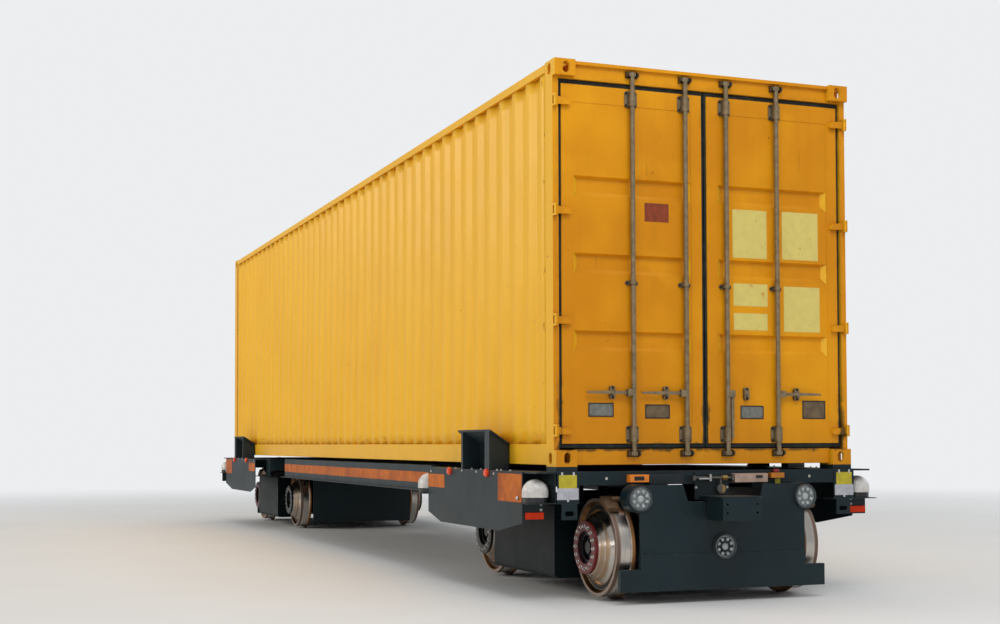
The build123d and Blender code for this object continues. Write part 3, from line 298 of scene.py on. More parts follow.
def container_paint(colour, sunlit_yellow, wear):
    """Yellow gloss paint with painted sunlight on the sides and painted shade in corners, run-down
    dirt, scuffs and rusty edges.
    """
    s = Shader("container_paint")
    deep = tuple(c * k for c, k in zip(colour, (0.80, 0.70, 0.55)))
    pale = tuple(min(1.0, c * k) for c, k in zip(colour, (1.04, 1.10, 1.5)))
    field = s.mix(s.band(s.noise(0.9, 3), 0.35, 0.68), deep, colour)
    field = s.mix(s.times(s.band(s.noise(2.3, 5), 0.5, 0.8), 0.5), field, pale)
    normal = s.add("ShaderNodeNewGeometry").outputs["Normal"]
    aside = s.math("ABSOLUTE", s.add("ShaderNodeSeparateXYZ", {0: normal}).outputs["Y"])
    # Painted sunlight: faces that look sideways turn to a paler yellow, patchy by a noise.
    sunlit_share = s.plus(0.62, s.times(s.noise(0.7, 4), 0.45), True)
    field = s.mix(s.times(s.band(aside, 0.3, 0.6), sunlit_share), field, sunlit_yellow)
    runs = s.noise(1.0, 6, 0.6, s.stretched((9, 9, 0.55)))
    grime = s.times(s.band(runs, 0.5, 0.85), 0.30 * wear)
    field = s.mix(grime, field, linear(120, 84, 34))
    low_dust = s.times(s.band(s.axis("Z"), SEAT_Z + 0.55, SEAT_Z), s.noise(7, 5))
    field = s.mix(s.times(low_dust, 0.4 * wear), field, linear(150, 108, 36))
    # Painted shade: dark brown in corners and hollows, in patches.
    corner = s.times(s.hollows(0.04), s.band(s.noise(5, 4), 0.25, 0.7))
    field = s.mix(s.times(corner, 0.75 * wear), field, linear(84, 58, 22))
    scratch = s.band(s.noise(1.0, 2, 0.5, s.stretched((60, 60, 4))), 0.70, 0.76)
    scratch = s.times(scratch, s.band(s.noise(1.4, 2), 0.52, 0.62))
    field = s.mix(s.times(scratch, 0.5 * wear), field, linear(96, 60, 20))
    chipped = s.times(s.edges(), s.band(s.noise(11, 6, 0.7), 0.56, 0.66))
    field = s.mix(s.times(chipped, wear, True), field, linear(92, 52, 26))
    across = s.math("ABSOLUTE", s.axis("Y"))
    rim = s.math("MINIMUM", s.minus(SEAL_HI.y, across), s.minus(across, SEAL_LO.y))
    rim = s.math("MINIMUM", rim, s.minus(s.axis("Z"), SEAL_LO.z))
    rim = s.math("ABSOLUTE", s.math("MINIMUM", rim, s.minus(SEAL_HI.z, s.axis("Z"))))
    ragged = s.plus(rim, s.times(s.noise(9, 6, 0.65), 0.11))
    smear = s.times(s.band(ragged, 0.088, 0.062), s.band(s.axis("X"), DOOR_X, DOOR_X + 0.03))
    smear = s.times(smear, s.plus(0.15, s.band(s.axis("Z"), 1.7, 1.2)))
    field = s.mix(s.times(smear, 1.5 * wear, True), field, linear(48, 44, 26))
    spot = s.times(s.band(s.noise(34, 2), 0.74, 0.78), s.band(s.noise(2.1, 2), 0.45, 0.6))
    field = s.mix(s.times(spot, 1.6 * wear, True), field, linear(104, 46, 18))
    gloss = s.plus(0.30, s.times(s.noise(3.2, 6), 0.22))
    gloss = s.plus(gloss, s.times(chipped, 0.35))
    skin = s.bump(s.noise(420, 2), 0.0004, 0.25)
    skin = s.bump(s.noise(5.5, 3), 0.004, 0.35, skin)
    return s.finish(Base_Color=field, Roughness=gloss, Normal=skin, Specular_IOR_Level=0.22,
                    Coat_Weight=0.05, Coat_Roughness=0.15)


def car_paint(name, colour, wear, dust=0.5, rough=0.42, shine=0.3):
    """Dark satin paint with road dust on what looks up, and rubbed edges."""
    s = Shader(name)
    deep = tuple(c * 0.72 for c in colour)
    field = s.mix(s.band(s.noise(1.7, 4), 0.35, 0.7), deep, colour)
    settled = s.times(s.upward(), s.band(s.noise(6, 6), 0.3, 0.75))
    settled = s.plus(settled, s.times(s.hollows(0.2), 0.25))
    film = s.times(s.band(s.noise(2.6, 7, 0.6), 0.45, 0.9), 0.12)
    settled = s.times(s.plus(settled, film, True), dust, True)
    field = s.mix(s.times(settled, 0.6), field, linear(112, 102, 86))
    rubbed = s.times(s.edges(0.004), s.band(s.noise(14, 6, 0.7), 0.5, 0.64))
    field = s.mix(s.times(rubbed, 0.8 * wear), field, linear(120, 122, 120))
    gloss = s.plus(rough - 0.1, s.times(s.noise(4.1, 6), 0.2))
    gloss = s.plus(gloss, s.times(settled, 0.3), True)
    skin = s.bump(s.noise(300, 2), 0.0004, 0.3)
    skin = s.bump(s.noise(4, 3), 0.003, 0.2, skin)
    return s.finish(Base_Color=field, Roughness=gloss, Normal=skin, Specular_IOR_Level=shine)


def galvanised():
    """Weathered zinc, brown with dust, with painted shade near black at its joints and hollows."""
    s = Shader("galvanised")
    field = s.mix(s.band(s.noise(22, 4), 0.3, 0.7), linear(122, 106, 78), linear(148, 130, 100))
    field = s.mix(s.band(s.noise(7, 6, 0.65), 0.55, 0.8), field, linear(98, 78, 50))
    # Painted shade: near black in corners and hollows.
    field = s.mix(s.times(s.hollows(0.05), 0.9), field, linear(34, 27, 20))
    gloss = s.plus(0.42, s.times(s.noise(20, 5), 0.25))
    return s.finish(Base_Color=field, Roughness=gloss, Metallic=0.35,
                    Normal=s.bump(s.noise(120, 4), 0.0008, 0.5))


def rubber():
    """Matt black door seal with a green cast and grey dust."""
    s = Shader("seal_rubber")
    field = s.mix(s.band(s.noise(14, 6), 0.4, 0.75), linear(14, 22, 20), linear(44, 46, 40))
    return s.finish(Base_Color=field, Roughness=0.8, Normal=s.bump(s.noise(60, 5), 0.001, 0.6))


def axle_radius(s):
    """How far a point is from its own wheel's axle."""
    off_x = s.minus(s.math("ABSOLUTE", s.axis("X")), BOGIE_X)
    off_x = s.minus(s.math("ABSOLUTE", off_x), HALF_BASE)
    off_z = s.minus(s.axis("Z"), AXLE_Z)
    return s.math("SQRT", s.plus(s.times(off_x, off_x), s.times(off_z, off_z)))


def wheel_steel():
    """Turned steel: brown flange, bright tread, brown rim, polished dish, with painted shade in
    the groove and the hollows.
    """
    s = Shader("wheel_steel")
    radius = axle_radius(s)
    side = s.math("ABSOLUTE", s.axis("Y"))
    rings = s.add("ShaderNodeCombineXYZ", {"X": radius, "Y": side}).outputs[0]
    steel, brown, gold = linear(198, 192, 184), linear(112, 74, 50), linear(146, 108, 60)
    stain = s.band(s.plus(s.noise(24, 4, 0.6, rings), s.times(s.noise(4, 5), 0.5)), 0.62, 0.86)
    worn = s.band(s.noise(52, 3, 0.5, rings), 0.42, 0.62)
    dish = s.mix(s.times(stain, 0.75), steel, gold)
    outside = s.band(side, FLANGE_Y, FLANGE_Y + 0.008)
    ends = s.times(outside, s.band(radius, TREAD_LOW, TREAD_LOW + 0.004))
    tread = s.mix(s.times(worn, 0.8), steel, brown)
    low, high = GROOVE
    groove = s.times(s.band(radius, low - 0.001, low + 0.003),
                     s.band(radius, high - 0.001, high - 0.005))
    face = s.times(s.band(radius, high - 0.002, high), s.band(side, FACE_Y, FACE_Y + 0.01))
    back = s.band(side, FLANGE_Y, FLANGE_Y - 0.006)
    field = s.mix(face, dish, s.mix(s.band(s.noise(12, 5), 0.3, 0.7), brown, gold))
    field = s.mix(ends, field, tread)
    # Painted shade: the groove in the wheel's face is coloured near black.
    field = s.mix(groove, field, linear(20, 21, 22))
    field = s.mix(back, field, s.mix(stain, gold, brown))
    # Painted shade: near black in corners and hollows.
    field = s.mix(s.times(s.hollows(0.06), 0.7), field, linear(34, 26, 22))
    gloss = s.plus(0.11, s.times(stain, 0.22))
    gloss = s.plus(gloss, s.times(s.times(ends, worn), 0.25))
    gloss = s.plus(gloss, s.times(groove, 0.3))
    gloss = s.plus(gloss, s.times(s.math("MAXIMUM", face, back), 0.16))
    metal = s.minus(1.0, s.times(groove, 0.6))
    return s.finish(Base_Color=field, Roughness=gloss, Metallic=metal,
                    Normal=s.bump(s.noise(260, 3, 0.5, rings), 0.0005, 0.3))


def zoned(name, first, second, share, rough, metal=0.0, cloudy=0.28, **more):
    """A finish of two clouded colours, parted by share, a call that gets the shader."""
    s = Shader(name)
    cloud = s.band(s.noise(16, 5), 0.3, 0.75)
    fields = [s.mix(cloud, tuple(c * (1 - cloudy) for c in colour), colour)
              for colour in (first, second)]
    field = s.mix(share(s), *fields)
    # Painted shade: near black in corners and hollows.
    field = s.mix(s.times(s.hollows(0.05), 0.5), field, linear(20, 18, 16))
    gloss = s.plus(rough, s.times(s.noise(11, 4), 0.14))
    return s.finish(Base_Color=field, Roughness=gloss, Metallic=metal,
                    Normal=s.bump(s.noise(150, 3), 0.0005, 0.3), **more)


def ahead(s):
    """Y as seen from the nearer end of the car, whose ends are half a turn apart."""
    return s.times(s.axis("Y"), s.math("SIGN", s.axis("X")))


def red_above(s):
    """1 on the stands' sloped tops and 0 elsewhere."""
    return s.times(s.upward(), s.band(s.axis("Z"), STAND_TOP_Z - 0.008, STAND_TOP_Z))


def plain_finish(name, colour, rough, metal=0.0, grain=30.0, change=0.25, **more):
    """A simple finish: one colour, clouded by a noise, with painted shade in its hollows and a
    fine grain in its bump.
    """
    s = Shader(name)
    deep = tuple(c * (1 - change) for c in colour)
    field = s.mix(s.band(s.noise(grain, 5), 0.3, 0.7), deep, colour)
    # Painted shade: a darker copy of the colour in corners and hollows.
    field = s.mix(s.times(s.hollows(0.04), 0.5), field, tuple(c * 0.3 for c in colour))
    gloss = s.plus(rough - 0.06, s.times(s.noise(grain * 0.7, 4), 0.12))
    return s.finish(Base_Color=field, Roughness=gloss, Metallic=metal,
                    Normal=s.bump(s.noise(grain * 6, 3), 0.0006, 0.3), **more)


# name, screen colour, roughness, metal, grain of its clouds and how far they darken
PLAIN_FINISHES = (
    ("floor_wood", (122, 88, 56), 0.6, 0.0, 12, 0.4),
    ("hub_black", (16, 20, 22), 0.36, 0.0, 24, 0.25),
    ("chrome", (214, 214, 212), 0.16, 1.0, 30, 0.15),
    ("bolt_dark", (66, 52, 38), 0.45, 0.4, 40, 0.3),
    ("cam_keepers", (92, 78, 56), 0.5, 0.35, 26, 0.45),
    ("bezel", (92, 98, 100), 0.34, 0.6, 20, 0.25),
    ("lamp_bowl", (150, 158, 160), 0.22, 0.9, 60, 0.5),
    ("sticker_red", (150, 62, 22), 0.45, 0.0, 26, 0.35),
    ("plate_grey", (138, 138, 130), 0.42, 0.4, 26, 0.3),
    ("plate_brown", (122, 102, 76), 0.5, 0.2, 18, 0.4),
    ("label_yellow", (196, 180, 40), 0.4, 0.0, 22, 0.25),
    ("label_grey", (188, 188, 196), 0.4, 0.0, 22, 0.25),
    ("tag_yellow", (210, 200, 40), 0.4, 0.0, 30, 0.25),
    ("mark_dark", (40, 34, 30), 0.5, 0.0, 30, 0.25),
    ("knob_white", (206, 204, 198), 0.4, 0.0, 26, 0.25),
    ("brake_brown", (112, 84, 58), 0.62, 0.3, 14, 0.45),
)


def make_finishes(settings):
    """Every material of the car, by its slot, its node or its own name."""
    car, wear = tuple(settings.car), settings.wear
    amber, warning = linear(214, 62, 14), linear(222, 124, 24)
    finishes = {name: plain_finish(name, linear(*colour), *rest)
                for name, colour, *rest in PLAIN_FINISHES}
    finishes.update({
        "container_paint": container_paint(tuple(settings.container),
                                           tuple(settings.sunlit_yellow), wear),
        "galvanised": galvanised(),
        "seal": rubber(),
        "car_paint": car_paint("car_paint", car, wear),
        "cast_frame": car_paint("cast_frame", linear(20, 25, 28), wear, 0.7, 0.6),
        "gloss_black": car_paint("gloss_cover", linear(5, 21, 25), wear * 0.5, 0.1, 0.44, 0.14),
        "wheel_steel": wheel_steel(),
        "lamp_amber": plain_finish("lamp_amber", amber, 0.16, grain=20, Coat_Weight=0.6,
                                   Emission_Color=amber, Emission_Strength=0.25),
        "lamp_red": plain_finish("lamp_red", linear(200, 50, 8), 0.3, grain=20,
                                 Specular_IOR_Level=0.2, Emission_Color=linear(196, 44, 6),
                                 Emission_Strength=0.2),
        "lamp_lens": plain_finish("lamp_lens", linear(226, 234, 232), 0.08, grain=90,
                                  Transmission_Weight=0.45, IOR=1.5, Coat_Weight=0.5),
        "warning_lights": plain_finish("warning_lights", warning, 0.2, grain=20, Coat_Weight=0.5,
                                       Emission_Color=warning, Emission_Strength=0.2),
        "hub_red": zoned("hub_red", linear(18, 18, 20), tuple(settings.hub),
                         lambda s: s.band(axle_radius(s), HUB_RING_R - 0.003, HUB_RING_R), 0.3),
        # Painted light and shadow: the strips' lighter and darker orange lie in large noise
        # patches.
        "stripe": zoned("stripe", linear(168, 78, 8), tuple(settings.stripe),
                        lambda s: s.band(s.noise(2.4, 5, 0.6), 0.3, 0.6), 0.4,
                        Specular_IOR_Level=0.2),
        "sticker_pale": zoned("sticker_pale", linear(226, 206, 112), linear(206, 146, 30),
                              lambda s: s.band(s.noise(19, 7, 0.7), 0.62, 0.68), 0.5, cloudy=0.08),
        "end_boxes": zoned("end_boxes", linear(22, 34, 40), linear(196, 166, 148),
                           lambda s: s.band(ahead(s), -0.05, 0.05), 0.42),
        "stop_buttons": zoned("stop_buttons", linear(218, 132, 22), linear(176, 34, 30),
                              lambda s: s.band(s.axis("Z"), BUTTON_Z - 0.0015, BUTTON_Z), 0.34,
                              Coat_Weight=0.3),
        "air_couplings": zoned("air_couplings", linear(112, 110, 104), linear(176, 142, 84),
                               lambda s: s.times(s.band(ahead(s), 0.066, 0.068),
                                                 s.band(ahead(s), 0.114, 0.112)), 0.3, 0.7),
        "domes": zoned("domes", linear(30, 34, 36), linear(222, 218, 212),
                       lambda s: s.band(s.axis("Z"), DOME_BASE_Z - 0.001, DOME_BASE_Z), 0.34,
                       Coat_Weight=0.2),
        "guide_stands": zoned("guide_stands", car, linear(156, 40, 24), red_above, 0.42),
    })
    return finishes


def modelled(name, bm, finish, body, smooth=None):
    """Turn a finished bmesh into a piece that rides on a body."""
    bmesh.ops.recalc_face_normals(bm, faces=bm.faces)
    mesh = bpy.data.meshes.new(name)
    bm.to_mesh(mesh)
    bm.free()
    if smooth is not None:
        mesh.shade_smooth()
        mesh.set_sharp_from_angle(angle=math.radians(smooth))
    mesh.materials.append(FINISHES[finish])
    piece = bpy.data.objects.new(name, mesh)
    bpy.context.scene.collection.objects.link(piece)
    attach(piece, body)
    return piece


def landing(names, start, way):
    """The first point of some CAD pieces that is met from start along way."""
    found = []
    for name in names:
        mesh = NODES[name].data
        if name not in TREES:
            TREES[name] = BVHTree.FromPolygons([v.co for v in mesh.vertices],
                                               [tuple(p.vertices) for p in mesh.polygons])
        point = TREES[name].ray_cast(Vector(start), Vector(way))[0]
        if point:
            found.append(point)
    if not found:
        raise RuntimeError(f"no piece to stand on from {tuple(start)}")
    return min(found, key=lambda p: (p - Vector(start)).length)


def on_end(names, way, y, z):
    """A landing from ahead of the car, or for way -1 the same place half a turn on."""
    return landing(names, (way * OUT, way * y, z), (-way, 0, 0))


def on_side(names, x, side, z):
    """A landing from beside the car."""
    return landing(names, (x, side * BESIDE, z), (0, -side, 0))


def seat(place, way):
    """Where a small form stands: its Z turned along way, at place."""
    return Matrix.Translation(place) @ Vector(way).to_track_quat("Z", "Y").to_matrix().to_4x4()


def plate(bm, place, way, size, corner=0.004):
    """A thin upright plate with rounded corners, standing on a face that looks along way."""
    up = Vector((0, 0, 1))
    turn = Matrix((up.cross(Vector(way)), up, way)).transposed().to_4x4()
    move = (Matrix.Translation(Vector(place) + Vector(way) * size[2] / 2) @ turn
            @ Matrix.Diagonal((*size, 1)))
    verts = bmesh.ops.create_cube(bm, size=1, matrix=move)["verts"]
    along = [e for e in dict.fromkeys(e for v in verts for e in v.link_edges)
             if abs((e.verts[0].co - e.verts[1].co).normalized().dot(Vector(way))) > 0.99]
    bmesh.ops.bevel(bm, geom=along, offset=corner, segments=3, profile=0.5, affect="EDGES",
                    material=-1)


def bolt_head(bm, place, way, radius, height=None):
    """A hexagon bolt head on its washer, as high as its radius if no height is given."""
    spot, height = seat(place, way), height or radius
    for segments, low, high, depth, rise in ((14, 1.55, 1.45, 0.3, 0.1), (6, 1.0, 0.94, 1.0, 0.5)):
        bmesh.ops.create_cone(bm, cap_ends=True, segments=segments, radius1=radius * low,
                              radius2=radius * high, depth=height * depth,
                              matrix=spot @ Matrix.Translation((0, 0, height * rise)))


def spun(bm, profile, spot, segments=32):
    """Turn a profile of (radius, height) points round Z, then set it at spot."""
    turned = bmesh.new()
    line = [turned.verts.new((radius, 0, height)) for radius, height in profile]
    edges = [turned.edges.new(pair) for pair in zip(line, line[1:])]
    bmesh.ops.spin(turned, geom=line + edges, cent=(0, 0, 0), axis=(0, 0, 1), angle=math.tau,
                   steps=segments, use_merge=True)
    bmesh.ops.remove_doubles(turned, verts=turned.verts, dist=0.00001)
    bmesh.ops.transform(turned, matrix=spot, verts=turned.verts)
    mesh = bpy.data.meshes.new("turned")
    turned.to_mesh(mesh)
    turned.free()
    bm.from_mesh(mesh)
    bpy.data.meshes.remove(mesh)


def wave_points(start, end, pitch, depth):
    """Corners of a trapezoid corrugation between flat rims, as (along, height)."""
    flat, slope = 0.26 * pitch, 0.24 * pitch
    count = int((end - start - 2 * SHEET_RIM) // pitch)
    first = (start + end - count * pitch + flat) / 2
    points = [(start, depth)]
    for i in range(count):
        at = first + i * pitch
        points += [(at, depth), (at + slope, 0), (at + slope + flat, 0),
                   (at + 2 * slope + flat, depth)]
    return points + [(end, depth)]


def pressed_sheet(bm, points, place, rise, rows, bend):
    """A sheet's bent line, drawn up in rows; place turns (along, height) into a point."""
    line = [bm.verts.new(place(along, height)) for along, height in points]
    for first, second in zip(line, line[1:]):
        bm.edges.new((first, second))
    bmesh.ops.bevel(bm, geom=line[1:-1], offset=bend, segments=3, profile=0.5, affect="VERTICES",
                    material=-1)
    edges = list(bm.edges)
    for _ in range(rows):
        made = bmesh.ops.extrude_edge_only(bm, edges=edges)["geom"]
        verts = [item for item in made if isinstance(item, bmesh.types.BMVert)]
        bmesh.ops.translate(bm, vec=rise / rows, verts=verts)
        fresh = dict.fromkeys(verts)
        edges = [item for item in made if isinstance(item, bmesh.types.BMEdge)
                 and all(v in fresh for v in item.verts)]


def dented(bm, direction, depth, seed):
    """Push vertices back and forth by a slow noise that fades out at the sheet's rim."""
    lo = Vector([min(v.co[i] for v in bm.verts) for i in range(3)])
    hi = Vector([max(v.co[i] for v in bm.verts) for i in range(3)])
    shift = Vector((seed, seed * 1.7, 0))
    for v in bm.verts:
        rim = min([1.0] + [min(v.co[i] - lo[i], hi[i] - v.co[i]) / 0.25 for i in range(3)
                           if hi[i] - lo[i] > 0.5])
        big = noise.noise((v.co + shift) * 1.1)
        small = noise.noise((v.co + shift) * 4.3)
        v.co += direction * depth * max(0.0, rim) * (0.7 * big + 0.5 * small)


class FLATCAR_OT_studio(bpy.types.Operator):
    """Set up the camera, the lights, the floor and the backdrop"""

    bl_idname = "flatcar.studio"
    bl_label = "Studio"

    # name, place, aim, size, power, colour
    LAMPS = (
        ("key_light", (-9.9, -23.9, 10.1), (1.0, 0, 1.8), (11.6, 7.2), 2420, (1.0, 0.95, 0.86)),
        ("door_light", (13.5, -1.5, 11.0), (6.0, 0, 1.8), (7, 5), 560, (0.98, 0.98, 1.0)),
        ("far_light", (0.0, 16.0, 9.0), (0, 0, 1.5), (14, 7), 600, (0.96, 0.98, 1.0)),
        ("top_light", (0.0, 0.0, 12.0), (0, 0, 0), (18, 8), 380, (1.0, 1.0, 1.0)),
        ("low_light", (16.5, -13.0, 3.4), (4.5, -1.0, 0.5), (6.5, 2.4), 210, (1.0, 0.98, 0.94)),
    )
    SKY_COLOUR, SKY_STRENGTH = (0.95, 0.97, 1.0, 1), 0.5
    FLOOR_RADIUS = 120

    def execute(self, context):
        settings = context.scene.flatcar_studio
        self.camera(context, settings)
        self.world(context, settings)
        self.floor(context, settings)
        for row in self.LAMPS:
            self.lamp(context, *row)
        context.scene.view_settings.view_transform = "Standard"
        return {"FINISHED"}

    def put(self, context, name, data, matrix):
        """Add one object to the scene and set its place."""
        thing = bpy.data.objects.new(name, data)
        context.scene.collection.objects.link(thing)
        thing.matrix_world = matrix
        return thing

    def camera(self, context, settings):
        data = bpy.data.cameras.new("camera")
        data.sensor_width = 36
        data.lens = settings.focal * data.sensor_width
        data.shift_y = settings.shift
        data.clip_end = 500
        a, e = settings.azimuth, settings.elevation
        back = Vector((math.sin(a) * math.cos(e), -math.cos(a) * math.cos(e), math.sin(e)))
        turn = (-back).to_track_quat("-Z", "Y").to_matrix()
        turn = turn @ Matrix.Rotation(settings.roll, 3, "Z")
        context.scene.camera = self.put(
            context, "camera", data, Matrix.Translation(settings.camera_place) @ turn.to_4x4())

    def lamp(self, context, name, place, aim, size, power, colour):
        data = bpy.data.lights.new(name, "AREA")
        data.shape = "RECTANGLE"
        data.size, data.size_y = size
        data.energy = power
        data.color = colour
        turn = (Vector(aim) - Vector(place)).to_track_quat("-Z", "Y").to_matrix()
        self.put(context, name, data, Matrix.Translation(place) @ turn.to_4x4())

    def world(self, context, settings):
        s = Shader("studio", "worlds")
        seen = s.add("ShaderNodeBackground", {"Color": (*settings.backdrop_colour, 1)})
        lit = s.add("ShaderNodeBackground",
                    {"Color": self.SKY_COLOUR, "Strength": self.SKY_STRENGTH})
        path = s.add("ShaderNodeLightPath").outputs
        either = s.math("MAXIMUM", path["Is Camera Ray"], path["Is Transmission Ray"])
        both = s.add("ShaderNodeMixShader", {0: either, 1: lit.outputs[0], 2: seen.outputs[0]})
        s.add("ShaderNodeOutputWorld", {"Surface": both.outputs[0]})
        context.scene.world = s.owner

    def floor(self, context, settings):
        bm = bmesh.new()
        bmesh.ops.create_circle(bm, cap_ends=True, radius=self.FLOOR_RADIUS, segments=96)
        mesh = bpy.data.meshes.new("floor_plane")
        bm.to_mesh(mesh)
        bm.free()
        s = Shader("studio_floor")
        field = s.mix(s.band(s.noise(0.4, 4), 0.2, 0.8), tuple(settings.floor_colour),
                      tuple(c * 0.95 for c in settings.floor_colour))
        reach = s.add("ShaderNodeVectorMath", {0: s.place}, operation="LENGTH").outputs["Value"]
        seen = s.add("ShaderNodeLightPath").outputs["Is Camera Ray"]
        far = s.times(s.band(reach, *settings.floor_fade), seen)
        near = s.add("ShaderNodeBsdfPrincipled", {"Base Color": field, "Roughness": 0.7})
        glow = s.add("ShaderNodeEmission", {"Color": (*settings.backdrop_colour, 1)})
        both = s.add("ShaderNodeMixShader", {0: far, 1: near.outputs[0], 2: glow.outputs[0]})
        s.add("ShaderNodeOutputMaterial", {"Surface": both.outputs[0]})
        mesh.materials.append(s.owner)
        self.put(context, "floor_plane", mesh, Matrix())


class FLATCAR_OT_cad_finish(bpy.types.Operator):
    """Give every CAD piece its finish and softened edges"""

    bl_idname = "flatcar.cad_finish"
    bl_label = "CAD pieces"

    WELD_REACH = 0.0001
    EDGE_WIDTH, EDGE_ANGLE = 0.0025, 34

    def execute(self, context):
        FINISHES.update(make_finishes(context.scene.flatcar_finish))
        for row in frame["record"]["subparts"]:
            name, slot = row["node"], row["material_slot"]
            if slot == "hub_red" and name.endswith("_inner"):
                slot = "hub_black"
            if slot == "headlamp":
                slot = "lamp_bowl"
            node = NODES[name]
            node.data.materials.clear()
            node.data.materials.append(FINISHES[name if name in FINISHES else slot])
            weld = node.modifiers.new("weld", "WELD")
            weld.merge_threshold = self.WELD_REACH
            edge = node.modifiers.new("edges", "BEVEL")
            edge.width = self.EDGE_WIDTH
            edge.segments = 2
            edge.limit_method = "ANGLE"
            edge.angle_limit = math.radians(self.EDGE_ANGLE)
            edge.harden_normals = True
            flats = node.modifiers.new("flats", "WEIGHTED_NORMAL")
            flats.weight = 100
            flats.keep_sharp = False
        return {"FINISHED"}


class FLATCAR_OT_walls(bpy.types.Operator):
    """Press the container's corrugated side walls, front wall and roof"""

    bl_idname = "flatcar.walls"
    bl_label = "Corrugated walls and roof"

    # piece, node that it replaces, axes along the waves, through the sheet and up its rows,
    # way that the waves bulge, way that the dents push, rows, seed of the dents
    SHEETS = (
        ("pressed_wall_near", "side_wall_near", (0, 1, 2), -1, -1, 26, 5.9),
        ("pressed_wall_far", "side_wall_far", (0, 1, 2), 1, 1, 26, 12.1),
        ("pressed_front", "front_wall", (1, 0, 2), -1, 1, 26, 5.5),
        ("pressed_roof", "roof", (0, 2, 1), 1, 1, 14, 7.7),
    )

    def execute(self, context):
        sheets = context.scene.flatcar_sheet
        for name, node, (along, deep, up), bulge, push, rows, seed in self.SHEETS:
            lo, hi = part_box(node)
            roof = node == "roof"
            depth = hi[deep] - lo[deep] - 2 * sheets.dents - SHEET
            gap = sheets.dents + (SHEET / 2 if roof else SHEET)
            foot = lo[deep] + gap if bulge > 0 else hi[deep] - gap

            def place(at, height):
                point = list(lo)
                point[along], point[deep] = at, foot + bulge * height
                return point

            rise, way = Vector(), Vector()
            rise[up], way[deep] = hi[up] - lo[up], push
            points = wave_points(lo[along], hi[along],
                                 sheets.roof_pitch if roof else sheets.pitch, depth)
            bm = bmesh.new()
            pressed_sheet(bm, points, place, rise, rows, sheets.bend)
            dented(bm, way, sheets.dents, seed)
            piece = modelled(name, bm, "container_paint", "car", 60)
            thick = piece.modifiers.new("thickness", "SOLIDIFY")
            thick.thickness = SHEET
            thick.offset = 0
            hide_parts(node)
        return {"FINISHED"}


class FLATCAR_OT_door_bolts(bpy.types.Operator):
    """Bolt the rod guides, saddles and handle catches to the doors"""

    bl_idname = "flatcar.door_bolts"
    bl_label = "Door bolts"

    def execute(self, context):
        trim = context.scene.flatcar_trim
        # y from the rod and height over the container's seat
        guides = [(dy, rise + dz) for rise in (0.229, 2.654) for dy in (-0.037, 0.037)
                  for dz in (-0.045, 0.045)]
        saddles = [(-0.038, 1.320), (0.038, 1.320)]
        catches = [(0.165, 0.528 - 0.036), (0.165, 0.528 + 0.036)]
        for side, sign in DOORS:
            bm = bmesh.new()
            for rod in ROD_Y:
                for dy, rise in guides + saddles + catches:
                    spot = on_end([f"lock_fittings_{side}"], 1, sign * (rod + dy), SEAT_Z + rise)
                    bolt_head(bm, spot, (1, 0, 0), trim.bolt)
            modelled(f"fitting_bolts_{side}", bm, "bolt_dark", f"door_{side}", 30)
        return {"FINISHED"}


class FLATCAR_OT_door_plates(bpy.types.Operator):
    """Fix the blank plates and stickers to the doors' sheets"""

    bl_idname = "flatcar.door_plates"
    bl_label = "Door plates and stickers"

    # finish, lowest and highest y, lowest and highest z, thickness
    PLATES = (
        ("plate_grey", -0.944, -0.746, 1.319, 1.419, 0.0025),
        ("plate_brown", -0.494, -0.295, 1.308, 1.410, 0.0025),
        ("plate_grey", 0.294, 0.491, 1.308, 1.407, 0.0025),
        ("plate_brown", 0.829, 1.031, 1.310, 1.448, 0.0020),
        ("sticker_pale", 0.239, 0.531, 2.508, 2.870, 0.0008),
        ("sticker_pale", 0.664, 0.980, 2.512, 2.874, 0.0008),
        ("sticker_pale", 0.243, 0.535, 2.149, 2.317, 0.0008),
        ("sticker_pale", 0.245, 0.533, 1.969, 2.096, 0.0008),
        ("sticker_pale", 0.676, 0.991, 1.966, 2.308, 0.0008),
        ("sticker_red", -0.489, -0.293, 2.740, 2.876, 0.0008),
    )
    RIM, RIM_HIGH, RIVET_IN = 0.008, 0.0012, 0.016
    RIVET = ((0, 0.0022), (0.0028, 0.0018), (0.0042, 0))

    def execute(self, context):
        for side, sign in DOORS:
            for finish in dict.fromkeys(row[0] for row in self.PLATES):
                rows = [row for row in self.PLATES if row[0] == finish and row[1] * sign > 0]
                if not rows:
                    continue
                bm = bmesh.new()
                for _, y0, y1, z0, z1, thick in rows:
                    middle = on_end([f"door_{side}"], 1, (y0 + y1) / 2, (z0 + z1) / 2)
                    plate(bm, middle, (1, 0, 0), (y1 - y0, z1 - z0, thick))
                modelled(f"{finish}_{side}", bm, finish, f"door_{side}")
            self.frames(side, sign)
        return {"FINISHED"}

    def frames(self, side, sign):
        """Raised rims and rivets of the metal plates."""
        bm = bmesh.new()
        for finish, y0, y1, z0, z1, thick in self.PLATES:
            if not finish.startswith("plate") or y0 * sign < 0:
                continue
            y, z, half = (y0 + y1) / 2, (z0 + z1) / 2, self.RIM / 2
            x = on_end([f"door_{side}"], 1, y, z).x + thick
            inside = z1 - z0 - 2 * self.RIM
            for at_y, at_z, width, height in (
                (y, z0 + half, y1 - y0, self.RIM), (y, z1 - half, y1 - y0, self.RIM),
                (y0 + half, z, self.RIM, inside), (y1 - half, z, self.RIM, inside),
            ):
                plate(bm, (x, at_y, at_z), (1, 0, 0), (width, height, self.RIM_HIGH), 0.002)
            for at_y in (y0 + self.RIVET_IN, y1 - self.RIVET_IN):
                for at_z in (z0 + self.RIVET_IN, z1 - self.RIVET_IN):
                    spun(bm, self.RIVET, seat((x, at_y, at_z), (1, 0, 0)), 10)
        modelled(f"plate_rims_{side}", bm, "mark_dark", f"door_{side}", 30)


